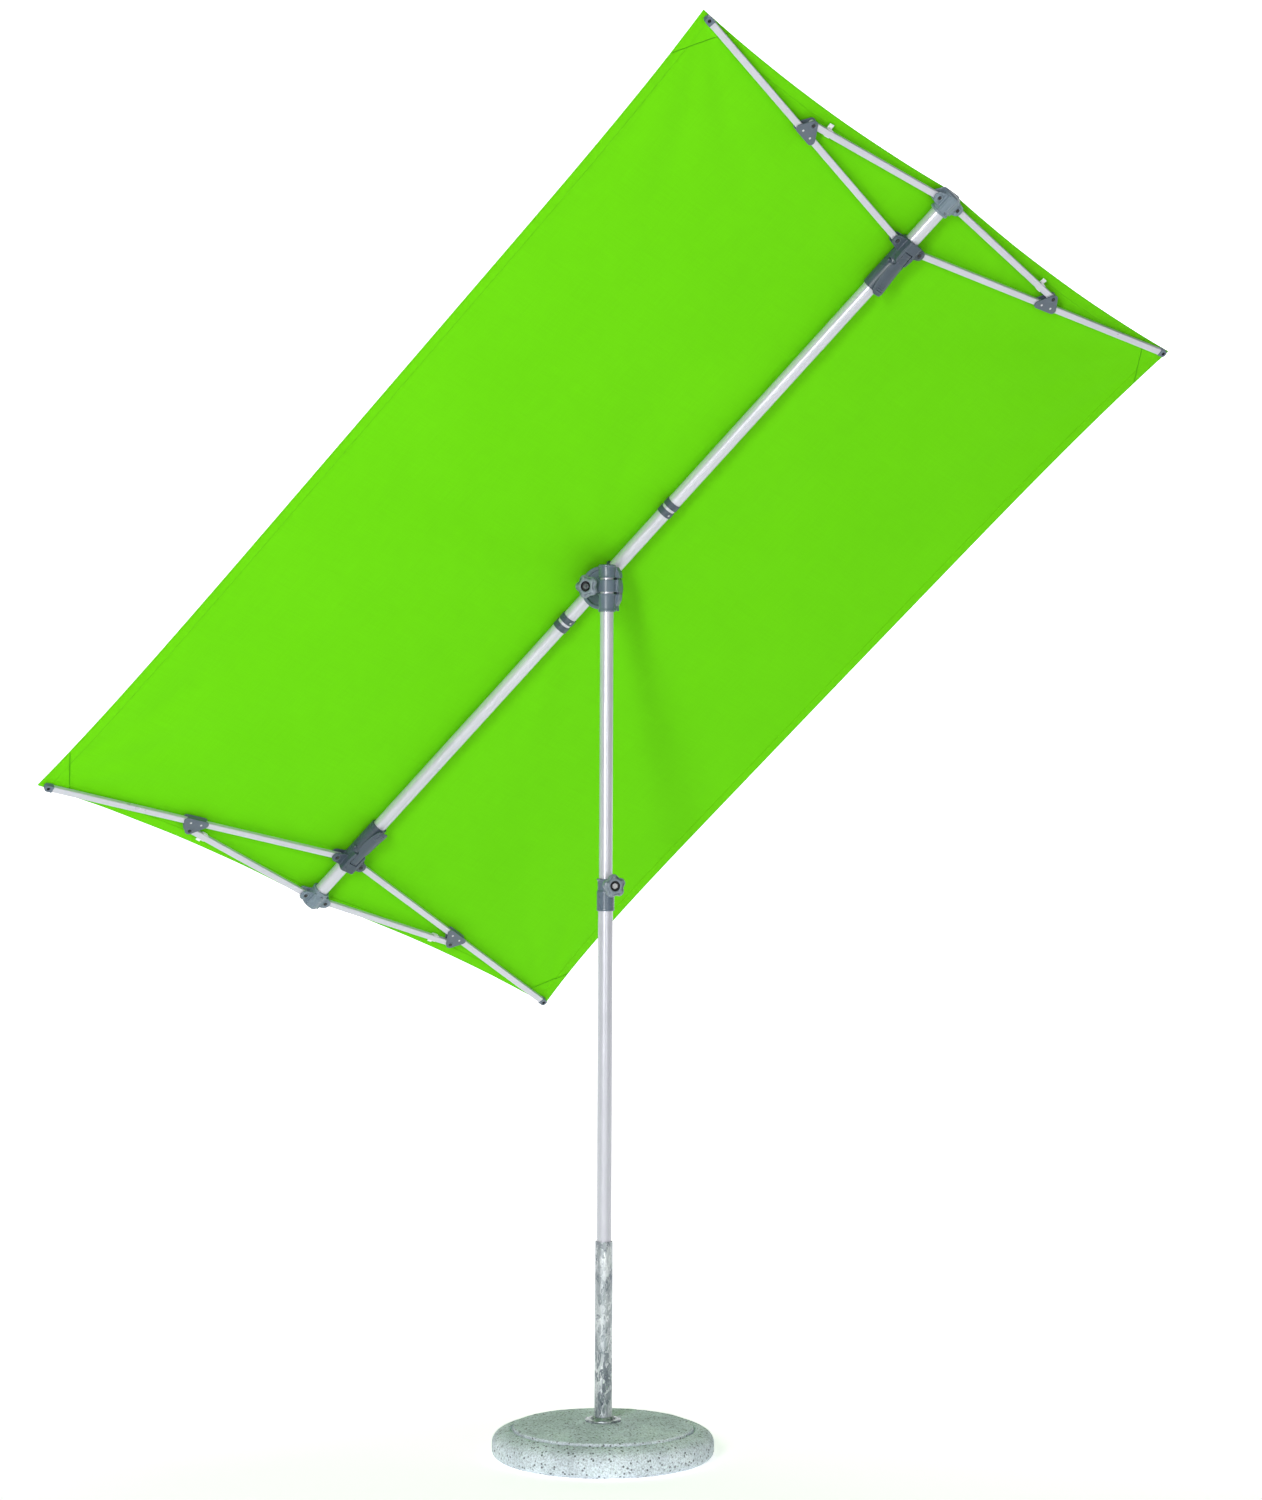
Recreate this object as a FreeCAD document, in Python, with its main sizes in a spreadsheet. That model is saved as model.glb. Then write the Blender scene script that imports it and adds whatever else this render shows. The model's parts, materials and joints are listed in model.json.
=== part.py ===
import FreeCAD, Part
import math
import os

from FreeCAD import Placement, Rotation, Vector

# Rectangular balcony and patio umbrella: a fabric sail stretched between two folding
# end frames on a crossbar, a tilting clamp head, a two-part pole, and a concrete base
# with a galvanised stand tube. Millimetres, +Z up, origin at the centre of the base's underside.

DIMENSIONS = {
    # base and stand tube
    "base_radius": 233.0,
    "base_thickness": 80.0,
    "base_ring_radius": 190.0,
    "base_ring_height": 70.0,
    "base_ring_step": 5.0,
    "base_foot_rounding": 14.0,
    "shoulder_start": 38.0,
    "shoulder_middle_inset": 9.5,
    "shoulder_middle_height": 56.5,
    "stand_outer_radius": 18.5,
    "stand_inner_radius": 17.0,
    "stand_foot_depth": 46.0,
    "stand_top": 450.0,
    "flange_radius": 37.5,
    "flange_thickness": 4.0,
    # two-part pole
    "lower_outer_radius": 15.5,
    "lower_inner_radius": 14.4,
    "lower_bottom": 36.0,
    "lower_top": 1184.0,
    "upper_outer_radius": 14.0,
    "upper_inner_radius": 12.8,
    "upper_bottom": 652.0,
    "collar_bottom": 1141.0,
    "collar_height": 68.0,
    "collar_outer_radius": 18.3,
    "collar_knob_height": 1195.0,
    "collar_throat_clearance": 0.4,
    "boss_radius": 10.0,
    "boss_length": 31.0,
    "boss_bore_radius": 5.4,
    "brake_pad_radius": 5.0,
    "brake_pad_length": 5.0,
    "brake_pad_start": 14.4,
    "foot_plug_length": 18.0,
    "guide_length": 30.0,
    "guide_lip": 4.0,
    "pole_end_gap": 0.5,
    # star knobs
    "knob_radius": 25.0,
    "knob_thickness": 13.0,
    "knob_lobe_cut": 7.5,
    "knob_hub_radius": 11.0,
    "height_knob_hub_length": 8.0,
    "head_knob_hub_length": 16.0,
    "knob_recess_radius": 7.5,
    "knob_recess_depth": 6.0,
    "knob_scallop_reach": 3.2,
    "knob_rounding": 2.0,
    "knob_nut_radius": 6.2,
    "knob_nut_height": 4.0,
    "height_stud_length": 25.8,
    "stud_radius": 3.0,
    "stud_clearance": 0.15,
    # tilting head
    "bolt_height": 1819.0,
    "bolt_beside_pole": 27.0,
    "sleeve_outer_radius": 17.2,
    "sleeve_inner_radius": 14.35,
    "sleeve_up": 46.0,
    "sleeve_down": 52.0,
    "sleeve_roof": 4.0,
    "band_up": 16.0,
    "band_down": 11.5,
    "band_gap": 2.6,
    "band_outer_radius": 18.6,
    "disc_radius": 45.5,
    "disc_thickness": 8.0,
    "disc_front": 24.0,
    "disc_clearance": 0.4,
    "disc_rim": 9.0,
    "disc_recess_inner": 12.0,
    "disc_recess_depth": 2.0,
    "rear_disc_thickness": 7.5,
    "bridge_inset": 2.0,
    "band_lug_reach": 8.0,
    "band_lug_depth": 17.6,
    "band_slit": 3.0,
    "band_anchor_start": 12.6,
    "band_anchor_width": 6.0,
    "bar_behind": 62.5,
    "bar_above": 22.0,
    "saddle_outer_radius": 18.5,
    "saddle_inner_radius": 17.0,
    "saddle_length": 86.0,
    "liner_outer_radius": 16.6,
    "liner_inner_radius": 15.35,
    "saddle_web_width": 54.0,
    "saddle_web_height": 30.0,
    "saddle_lug_width": 24.0,
    "saddle_lug_height": 22.0,
    "saddle_lug_bottom": -8.5,
    "saddle_lug_behind": 9.5,
    "saddle_slit": 2.5,
    "liner_slit": 3.0,
    "bolt_head_radius": 5.2,
    "bolt_head_height": 4.0,
    # pose of the head and the crossbar as the umbrella stands
    "swing_deg": -26.2,
    "crossbar_elevation_deg": 44.2,
    "roll_deg": 61.1,
    "bar_shift": 47.0,
    # crossbar with its folding end frames
    "bar_outer_radius": 15.0,
    "bar_inner_radius": 13.6,
    "bar_half_length": 1040.0,
    "bar_joint": 170.0,
    "spigot_half_length": 60.0,
    "ring_outer_radius": 16.8,
    "ring_length": 14.0,
    "ring_gap": 6.5,
    "ring_screw_radius": 2.0,
    "ring_screw_proud": 0.8,
    "spigot_wall": 1.5,
    "crown_inner_face": 1003.0,
    "crown_length": 45.0,
    "crown_radius": 19.0,
    "crown_pivot_along": 1029.0,
    "crown_pivot_aside": 28.8,
    "crown_screw_along": 9.0,
    "crown_screw_radius": 2.6,
    "crown_screw_proud": 0.7,
    "slider_inner_end": 799.0,
    "slider_length": 126.0,
    "slider_outer_radius": 18.9,
    "slider_inner_radius": 15.4,
    "slider_pivot_along": 909.5,
    "slider_pivot_aside": 34.6,
    "ear_radius": 11.5,
    "ear_inner_face": 5.4,
    "ear_outer_face": 8.6,
    "ear_root": 8.0,
    "pin_radius": 2.5,
    "pin_clearance": 0.1,
    "pin_head_rim": 1.3,
    "pin_head_height": 0.9,
    # trigger, measured from the slider's inner end and from the crossbar's axis
    "trigger_seat_start": 76.0,
    "trigger_seat_length": 46.0,
    "trigger_seat_width": 28.0,
    "trigger_seat_bottom": -23.5,
    "trigger_seat_height": 12.0,
    "trigger_slot_start": 70.0,
    "trigger_slot_length": 34.0,
    "trigger_slot_width": 20.8,
    "trigger_slot_top": -18.0,
    "trigger_axle_along": 92.0,
    "trigger_axle_height": -20.4,
    "trigger_axle_radius": 1.9,
    "trigger_hole_radius": 2.0,
    "trigger_eye_radius": 3.4,
    "trigger_width": 20.0,
    "trigger_top": -19.3,
    # ribs and struts
    "rib_width": 14.0,
    "rib_depth": 10.0,
    "rib_wall": 1.2,
    "rib_length": 716.0,
    "rib_angle_deg": 79.3,
    "rib_inner_overrun": 9.0,
    "rib_rounding": 2.0,
    "rib_cap_length": 17.0,
    "rib_cap_proud": 0.5,
    "rib_cap_eyelet_along": 8.5,
    "rib_cap_eyelet_radius": 2.6,
    "elbow_along": 362.5,
    "elbow_aside": 20.9,
    "elbow_plate_length": 50.0,
    "elbow_plate": 2.6,
    "elbow_plate_before": 30.0,
    "elbow_spine": 2.0,
    "elbow_spine_inset": 5.0,
    "elbow_rounding": 5.0,
    "strut_depth": 9.2,
    "strut_eye_radius": 7.0,
    "hook_along": 315.0,
    "hook_base_length": 14.0,
    "hook_base_width": 10.0,
    "hook_base_height": 1.6,
    "hook_post_radius": 2.6,
    "hook_post_height": 5.5,
    # canopy fabric
    "canopy_half_length": 1050.0,
    "canopy_half_width": 750.0,
    "canopy_long_edge_sag": 20.0,
    "canopy_short_edge_sag": 19.5,
    "canopy_middle_inset": 3.0,
    "canopy_ridge_height": 20.6,
    "canopy_corner_height": 7.0,
    "canopy_thickness": 0.8,
}

KNOB_LOBES = 5
HEX = 6
THROUGH = 400.0                 # a cutter this long passes right through any piece
BOSS_DIRECTION_DEG = -67.0      # the height knob faces front and a little to the right
HEIGHT_KNOB_DISTANCE = 31.4     # pole axis to the back of the height knob's hub
HEAD_KNOB_DISTANCE = 18.0       # pole axis to the back of the head knob's hub, towards the front
BOLT_START = 50.0               # pole axis to the head bolt's front end
SADDLE_ROOT = 38.0              # pole axis to where the saddle's web ends inside its shell
SIDES = {"left": -1, "right": 1}
ENDS = {"upper": 0.0, "lower": 180.0}

document = FreeCAD.newDocument("patio_umbrella")
sheet = document.addObject("Spreadsheet::Sheet", "dims")
for row, (alias, number) in enumerate(DIMENSIONS.items(), start=1):
    sheet.set(f"A{row}", alias)
    sheet.set(f"B{row}", str(number))
    sheet.setAlias(f"B{row}", alias)
document.recompute()

nodes = {}


def dim(alias):
    """The number that the spreadsheet holds under this alias."""
    return float(sheet.get(alias))


def bind(thing, **formulas):
    """Bind properties to spreadsheet formulas; a bare alias in a formula is written dims.alias."""
    for name, formula in formulas.items():
        thing.setExpression(name, formula)


def at(x=0.0, y=0.0, z=0.0, axis=Vector(0, 0, 1), angle=0.0):
    return Placement(Vector(x, y, z), Rotation(axis, angle))


ALONG_X = Rotation(Vector(0, 1, 0), 90)
ALONG_Y = Rotation(Vector(1, 0, 0), -90)
ALONG_MINUS_Y = Rotation(Vector(1, 0, 0), 90)


def add(kind, name, placement=None, **formulas):
    thing = document.addObject(kind, name)
    bind(thing, **formulas)
    if placement is not None:
        thing.Placement = placement
    return thing


def cylinder(name, radius, height, placement=None):
    return add("Part::Cylinder", name, placement, Radius=radius, Height=height)


def box(name, length, width, height, placement=None):
    return add("Part::Box", name, placement, Length=length, Width=width, Height=height)


def tube(name, outer, inner, height, placement=None):
    """A plain tube along local Z from the placement's origin."""
    shell = cylinder(f"{name}_outside", outer, height)
    bore = cylinder(f"{name}_bore", inner, height)
    return cut(name, shell, bore, placement)


def cut(name, base, tool, placement=None):
    result = document.addObject("Part::Cut", name)
    result.Base, result.Tool = base, tool
    if placement is not None:
        result.Placement = placement
    return result


def fuse(name, pieces, placement=None):
    result = document.addObject("Part::MultiFuse", name)
    result.Shapes = pieces
    result.Refine = True
    if placement is not None:
        result.Placement = placement
    return result


def group(name, pieces, placement=None):
    """Separate solids kept in one node, such as a set of identical fasteners."""
    result = document.addObject("Part::Compound", name)
    result.Links = pieces
    if placement is not None:
        result.Placement = placement
    return result


def node(thing, name):
    thing.Label = name
    nodes[name] = thing
    return thing


def origin_plane(body, role):
    return next(f for f in body.Origin.OriginFeatures if f.Role == role)


def sketch_on(body, role, name):
    sketch = body.newObject("Sketcher::SketchObject", name)
    sketch.AttachmentSupport = [(origin_plane(body, role), "")]
    sketch.MapMode = "FlatFace"
    return sketch


def closed_outline(sketch, points):
    """A closed polygon; corners are rounded afterwards where the piece needs it."""
    count = len(points)
    for i, start in enumerate(points):
        end = points[(i + 1) % count]
        sketch.addGeometry(Part.LineSegment(Vector(*start, 0), Vector(*end, 0)), False)


# ---------------------------------------------------------------- frames of the moving groups

head_frame = at(z=dim("bolt_height"), angle=dim("swing_deg"))
tilt_frame = head_frame * Placement(
    Vector(-dim("bolt_beside_pole"), 0, 0),
    Rotation(Vector(0, 1, 0), -dim("crossbar_elevation_deg")),
)
bar_frame = tilt_frame * Placement(
    Vector(dim("bar_shift"), dim("bar_behind"), dim("bar_above")),
    Rotation(Vector(1, 0, 0), dim("roll_deg") - 90.0),
)
saddle_frame = tilt_frame * at(0, dim("bar_behind"), dim("bar_above"))


def end_frame(end):
    """Local X runs from the middle of the crossbar out to this end, Z to the sunny side."""
    return bar_frame * at(angle=ENDS[end])


def rib_frame(end, side):
    """Local X runs from the slider's pin to the rib's tip."""
    pivot = at(dim("slider_pivot_along"), SIDES[side] * dim("slider_pivot_aside"))
    return end_frame(end) * pivot * at(angle=SIDES[side] * dim("rib_angle_deg"))


def elbow_point():
    """The elbow pin on the right-hand side, in the end frame."""
    angle = math.radians(dim("rib_angle_deg"))
    along, aside = dim("elbow_along"), dim("elbow_aside")
    return Vector(
        dim("slider_pivot_along") + along * math.cos(angle) + aside * math.sin(angle),
        dim("slider_pivot_aside") + along * math.sin(angle) - aside * math.cos(angle),
        0,
    )


crown_pivot = Vector(dim("crown_pivot_along"), dim("crown_pivot_aside"), 0)
strut_vector = elbow_point() - crown_pivot
STRUT_LENGTH = strut_vector.Length
STRUT_ANGLE = math.degrees(math.atan2(strut_vector.y, strut_vector.x))


def strut_frame(end, side):
    """Local X runs from the crown's pin to the elbow pin."""
    pivot = at(crown_pivot.x, SIDES[side] * crown_pivot.y)
    return end_frame(end) * pivot * at(angle=SIDES[side] * STRUT_ANGLE)


# ---------------------------------------------------------------- base

def concrete_base():
    """A cast disc: rounded foot and shoulder, a low cone inside a ring, and a bore for the stand tube."""
    body = document.addObject("PartDesign::Body", "concrete_body")
    sketch = sketch_on(body, "XZ_Plane", "concrete_profile")
    bore, rim, top = dim("stand_outer_radius"), dim("base_radius"), dim("base_thickness")
    bottom = top - dim("stand_foot_depth")
    rounding = dim("base_foot_rounding")
    bulge = rounding * (1 - math.sqrt(0.5))
    ring, ring_top, step = dim("base_ring_radius"), dim("base_ring_height"), dim("base_ring_step")
    foot = [(0, 0), (rim - rounding, 0), (rim - bulge, bulge), (rim, rounding)]
    shoulder = [
        (rim, dim("shoulder_start")),
        (rim - dim("shoulder_middle_inset"), dim("shoulder_middle_height")),
        (ring + step, ring_top - step),
    ]
    inside = [(ring, ring_top), (dim("flange_radius") + step, top), (bore, top), (bore, bottom), (0, bottom)]
    for arc in (foot[1:], shoulder):
        start, middle, end = (Vector(*point, 0) for point in arc)
        sketch.addGeometry(Part.Arc(start, middle, end), False)
    lines = [foot[:2], [foot[-1], shoulder[0]]]
    lines += zip(shoulder[-1:] + inside, inside + foot[:1])
    for start, end in lines:
        sketch.addGeometry(Part.LineSegment(Vector(*start, 0), Vector(*end, 0)), False)
    turned = body.newObject("PartDesign::Revolution", "concrete_turned")
    turned.Profile = sketch
    turned.ReferenceAxis = (sketch, ["V_Axis"])
    turned.Angle = 360.0
    sketch.Visibility = False
    node(body, "concrete_base")


def stand_tube():
    """Galvanised tube that holds the pole, closed by a foot plate cast into the concrete."""
    foot = dim("base_thickness") - dim("stand_foot_depth")
    wall = tube(
        "stand_wall", "dims.stand_outer_radius", "dims.stand_inner_radius",
        "dims.stand_top - dims.base_thickness + dims.stand_foot_depth", at(z=foot),
    )
    plate = cylinder("stand_plate", "dims.stand_outer_radius", "2", at(z=foot))
    node(fuse("stand_piece", [wall, plate]), "stand_tube")
    ring = tube(
        "flange_ring", "dims.flange_radius", "dims.stand_outer_radius",
        "dims.flange_thickness", at(z=dim("base_thickness")),
    )
    node(ring, "stand_flange")


# ---------------------------------------------------------------- pole

def lower_pole():
    node(
        tube(
            "lower_wall", "dims.lower_outer_radius", "dims.lower_inner_radius",
            "dims.lower_top - dims.lower_bottom", at(z=dim("lower_bottom")),
        ),
        "lower_pole",
    )
    plug = cylinder(
        "plug_core", "dims.lower_inner_radius", "dims.foot_plug_length", at(z=dim("lower_bottom"))
    )
    node(plug, "pole_foot_plug")


def height_collar():
    """Plastic collar on the top of the lower pole, with a boss for the clamping knob."""
    bottom = dim("collar_bottom")
    shell = cylinder("collar_shell", "dims.collar_outer_radius", "dims.collar_height", at(z=bottom))
    axis = Rotation(Vector(0, 0, 1), BOSS_DIRECTION_DEG)
    boss_origin = Placement(Vector(0, 0, dim("collar_knob_height")), axis)
    outwards = boss_origin * Placement(Vector(), ALONG_X)
    boss = cylinder("collar_boss", "dims.boss_radius", "dims.boss_length", outwards)
    solid = fuse("collar_solid", [shell, boss])
    seat = cylinder(
        "collar_seat", "dims.lower_outer_radius", "dims.lower_top - dims.collar_bottom", at(z=bottom)
    )
    throat = cylinder(
        "collar_throat", "dims.upper_outer_radius + dims.collar_throat_clearance",
        "dims.collar_height", at(z=bottom),
    )
    screw_hole = cylinder("collar_screw_hole", "dims.boss_bore_radius", f"{THROUGH}", outwards)
    hollow = fuse("collar_hollow", [seat, throat, screw_hole])
    collar = cut("collar_piece", solid, hollow)
    node(collar, "height_collar")
    pad = cylinder(
        "pad_core", "dims.brake_pad_radius", "dims.brake_pad_length",
        boss_origin * Placement(Vector(dim("brake_pad_start"), 0, 0), ALONG_X),
    )
    node(pad, "height_brake_pad")


def star_knob(prefix, frame, stud_length, nut_label):
    """A five-lobed plastic knob with its nut, or with its screw where stud_length isn't 0.

    The frame's origin is at the back of the hub, and its +X points out of the front face.
    """
    body = document.addObject("PartDesign::Body", f"{prefix}_body")
    sketch = sketch_on(body, "XY_Plane", f"{prefix}_round")
    circle = Part.Circle(Vector(), Vector(0, 0, 1), dim("knob_radius"))
    sketch.addGeometry(circle, False)
    pad = body.newObject("PartDesign::Pad", f"{prefix}_pad")
    pad.Profile = sketch
    bind(pad, Length="dims.knob_thickness")
    scallop = sketch_on(body, "XY_Plane", f"{prefix}_scallop")
    reach = dim("knob_radius") + dim("knob_scallop_reach")
    scallop.addGeometry(Part.Circle(Vector(reach, 0, 0), Vector(0, 0, 1), dim("knob_lobe_cut")), False)
    pocket = body.newObject("PartDesign::Pocket", f"{prefix}_pocket")
    pocket.Profile = scallop
    pocket.Type = "ThroughAll"
    pocket.Reversed = True
    pattern = body.newObject("PartDesign::PolarPattern", f"{prefix}_pattern")
    pattern.Originals = [pocket]
    pattern.Axis = (scallop, ["N_Axis"])
    pattern.Angle = 360.0
    pattern.Occurrences = KNOB_LOBES
    body.Tip = pattern
    document.recompute()
    edges = [
        f"Edge{i}" for i, edge in enumerate(pattern.Shape.Edges, start=1)
        if abs(edge.BoundBox.ZMin - dim("knob_thickness")) < 1e-6
    ]
    rounded = body.newObject("PartDesign::Fillet", f"{prefix}_rounding")
    rounded.Base = (pattern, edges)
    rounded.Radius = dim("knob_rounding")
    body.Tip = rounded
    hub_length = dim(f"{prefix}_hub_length")
    hub = cylinder(
        f"{prefix}_hub", "dims.knob_hub_radius", f"dims.{prefix}_hub_length", at(z=-hub_length)
    )
    solid = fuse(f"{prefix}_solid", [body, hub])
    nut_floor = dim("knob_thickness") - dim("knob_recess_depth")
    recess = cylinder(f"{prefix}_recess", "dims.knob_recess_radius", f"{THROUGH}", at(z=nut_floor))
    bore = cylinder(
        f"{prefix}_bore", "dims.stud_radius + dims.stud_clearance", f"{THROUGH}", at(z=-THROUGH / 2)
    )
    hollow = fuse(f"{prefix}_hollow", [recess, bore])
    outwards = frame * Placement(Vector(hub_length, 0, 0), ALONG_X)
    node(cut(f"{prefix}_piece", solid, hollow, outwards), prefix)
    nut = add(
        "Part::Prism", f"{prefix}_nut_core", at(z=nut_floor),
        Height="dims.knob_nut_height", Circumradius="dims.knob_nut_radius",
    )
    nut.Polygon = HEX
    if stud_length:
        stud = cylinder(
            f"{prefix}_stud", "dims.stud_radius", f"{stud_length} + dims.knob_nut_height",
            at(z=nut_floor - stud_length),
        )
        node(fuse(f"{prefix}_screw_piece", [nut, stud], outwards), nut_label)
    else:
        hole = cylinder(
            f"{prefix}_nut_hole", "dims.stud_radius + dims.stud_clearance", "dims.knob_nut_height",
            at(z=nut_floor),
        )
        node(cut(f"{prefix}_nut_piece", nut, hole, outwards), nut_label)


def height_knob():
    direction = Rotation(Vector(0, 0, 1), BOSS_DIRECTION_DEG)
    frame = Placement(Vector(0, 0, dim("collar_knob_height")), direction)
    star_knob(
        "height_knob", frame * at(HEIGHT_KNOB_DISTANCE), dim("height_stud_length"), "height_knob_screw"
    )


def upper_pole():
    wall = tube(
        "upper_wall", "dims.upper_outer_radius", "dims.upper_inner_radius",
        "dims.bolt_height + dims.sleeve_up - dims.sleeve_roof - dims.upper_bottom - dims.pole_end_gap",
        at(z=dim("upper_bottom")),
    )
    node(wall, "upper_pole")
    foot = at(z=dim("upper_bottom") - dim("guide_lip"))
    guide = cylinder("guide_core", "dims.upper_inner_radius", "dims.guide_length", foot)
    lip = cylinder("guide_rim", "dims.upper_outer_radius", "dims.guide_lip", foot)
    node(fuse("guide_piece", [guide, lip]), "pole_guide_plug")


# ---------------------------------------------------------------- tilting head

def head_sleeve():
    """Pole sleeve in two knuckles with the front friction disc behind it."""
    shell = cylinder(
        "sleeve_shell", "dims.sleeve_outer_radius", "dims.sleeve_up + dims.sleeve_down",
        at(z=-dim("sleeve_down")),
    )
    bridge = box(
        "sleeve_bridge", "2 * (dims.sleeve_outer_radius - dims.bridge_inset)", "dims.disc_front",
        "dims.sleeve_up + dims.sleeve_down - 8 * dims.bridge_inset",
        at(dim("bridge_inset") - dim("sleeve_outer_radius"), 0, 4 * dim("bridge_inset") - dim("sleeve_down")),
    )
    disc = cylinder(
        "front_disc", "dims.disc_radius", "dims.disc_thickness",
        Placement(Vector(-dim("bolt_beside_pole"), dim("disc_front"), 0), ALONG_Y),
    )
    solid = fuse("sleeve_solid", [shell, bridge, disc])
    bore = cylinder(
        "sleeve_bore", "dims.sleeve_inner_radius", "dims.sleeve_up + dims.sleeve_down - dims.sleeve_roof",
        at(z=-dim("sleeve_down")),
    )
    window = box(
        "band_window", f"{THROUGH}", f"{THROUGH / 2} + dims.disc_front",
        "dims.band_up + dims.band_down + 2 * dims.band_gap",
        at(-THROUGH / 2, -THROUGH / 2, -dim("band_down") - dim("band_gap")),
    )
    bolt_hole = cylinder(
        "front_bolt_hole", "dims.stud_radius + dims.pin_clearance", f"{THROUGH}",
        Placement(Vector(-dim("bolt_beside_pole"), 0, 0), ALONG_Y),
    )
    recess_ring = tube(
        "disc_recess", "dims.disc_radius - dims.disc_rim", "dims.disc_recess_inner",
        "dims.disc_recess_depth",
        Placement(Vector(-dim("bolt_beside_pole"), dim("disc_front"), 0), ALONG_Y),
    )
    hollow = fuse("sleeve_hollow", [bore, window, bolt_hole, recess_ring])
    node(cut("sleeve_piece", solid, hollow, head_frame), "head_sleeve")


def clamp_band():
    """Strap round the pole between the knuckles; the bolt pulls its free lug tight."""
    height = "dims.band_up + dims.band_down"
    bottom = -dim("band_down")
    ring = cylinder("band_ring", "dims.band_outer_radius", height, at(z=bottom))
    lug_reach = dim("bolt_beside_pole") + dim("band_lug_reach")
    lug = box(
        "band_lug", "dims.bolt_beside_pole + dims.band_lug_reach", "dims.band_lug_depth - 0.6", height,
        at(-lug_reach, -dim("band_lug_depth"), bottom),
    )
    anchor = box(
        "band_anchor", "dims.band_anchor_width", "dims.disc_front", height,
        at(dim("band_anchor_start"), 0, bottom),
    )
    solid = fuse("band_solid", [ring, lug, anchor])
    bore = cylinder("band_bore", "dims.sleeve_inner_radius", height, at(z=bottom))
    bolt_hole = cylinder(
        "band_bolt_hole", "dims.stud_radius + 4 * dims.pin_clearance", f"{THROUGH}",
        Placement(Vector(-dim("bolt_beside_pole"), dim("disc_front"), 0), ALONG_MINUS_Y),
    )
    slit = box("band_slit", "30", "dims.band_slit", height, at(-44, -2, bottom))
    hollow = fuse("band_hollow", [bore, bolt_hole, slit])
    node(cut("band_piece", solid, hollow, head_frame), "clamp_band")


def head_knob():
    front = Placement(
        Vector(-dim("bolt_beside_pole"), -HEAD_KNOB_DISTANCE, 0), Rotation(Vector(0, 0, 1), -90)
    )
    star_knob("head_knob", head_frame * front, 0, "head_knob_nut")


def tilt_saddle():
    """Rear friction disc and the split tube clamp behind it, made in one piece."""
    back = dim("disc_front") + dim("disc_thickness") + dim("disc_clearance")
    disc = cylinder(
        "rear_disc", "dims.disc_radius", "dims.rear_disc_thickness",
        Placement(Vector(0, back, 0), ALONG_Y),
    )
    shell = cylinder(
        "saddle_shell", "dims.saddle_outer_radius", "dims.saddle_length",
        Placement(Vector(-dim("saddle_length") / 2, dim("bar_behind"), dim("bar_above")), ALONG_X),
    )
    web = box(
        "saddle_web", "dims.saddle_web_width", f"dims.bar_behind - {SADDLE_ROOT}",
        "dims.saddle_web_height",
        at(-dim("saddle_web_width") / 2, back, dim("bar_above") - dim("saddle_web_height") / 2),
    )
    lug = box(
        "saddle_lug", "dims.saddle_lug_width", f"dims.bar_behind + dims.saddle_lug_behind - {back}",
        "dims.saddle_lug_height",
        at(-dim("saddle_lug_width") / 2, back, dim("saddle_lug_bottom")),
    )
    solid = fuse("saddle_solid", [disc, shell, web, lug])
    bore = cylinder(
        "saddle_bore", "dims.saddle_inner_radius", f"{THROUGH}",
        Placement(Vector(-THROUGH / 2, dim("bar_behind"), dim("bar_above")), ALONG_X),
    )
    slit = box(
        "saddle_slit", f"{THROUGH}", "dims.saddle_slit", "dims.bar_above + 13",
        at(-THROUGH / 2, dim("bar_behind") - 1, -25),
    )
    bolt_hole = cylinder(
        "rear_bolt_hole", "dims.stud_radius", f"{THROUGH}", Placement(Vector(), ALONG_Y)
    )
    hollow = fuse("saddle_hollow", [bore, slit, bolt_hole])
    node(cut("saddle_piece", solid, hollow, tilt_frame), "tilt_saddle")


def tilt_bolt():
    """Long bolt through knob, band, discs and saddle; its head bears on the saddle's back."""
    back = dim("bar_behind") + dim("saddle_lug_behind")
    shank = cylinder(
        "bolt_shank", "dims.stud_radius", f"{back + BOLT_START}",
        Placement(Vector(0, -BOLT_START, 0), ALONG_Y),
    )
    head = add(
        "Part::Prism", "bolt_head", Placement(Vector(0, back, 0), ALONG_Y),
        Height="dims.bolt_head_height", Circumradius="dims.bolt_head_radius",
    )
    head.Polygon = HEX
    node(fuse("bolt_piece", [shank, head], tilt_frame), "tilt_bolt")


def saddle_liner():
    """Split friction bush between the saddle and the crossbar."""
    ring = tube(
        "liner_ring", "dims.liner_outer_radius", "dims.liner_inner_radius", "dims.saddle_length - 2",
        Placement(Vector(-dim("saddle_length") / 2 + 1, 0, 0), ALONG_X),
    )
    slit = box(
        "liner_slit", f"{THROUGH}", "dims.liner_slit", "2 * dims.liner_outer_radius",
        at(-THROUGH / 2, -dim("liner_slit") / 2, -2 * dim("liner_outer_radius")),
    )
    node(cut("liner_piece", ring, slit, saddle_frame), "saddle_liner")


# ---------------------------------------------------------------- crossbar

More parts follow.
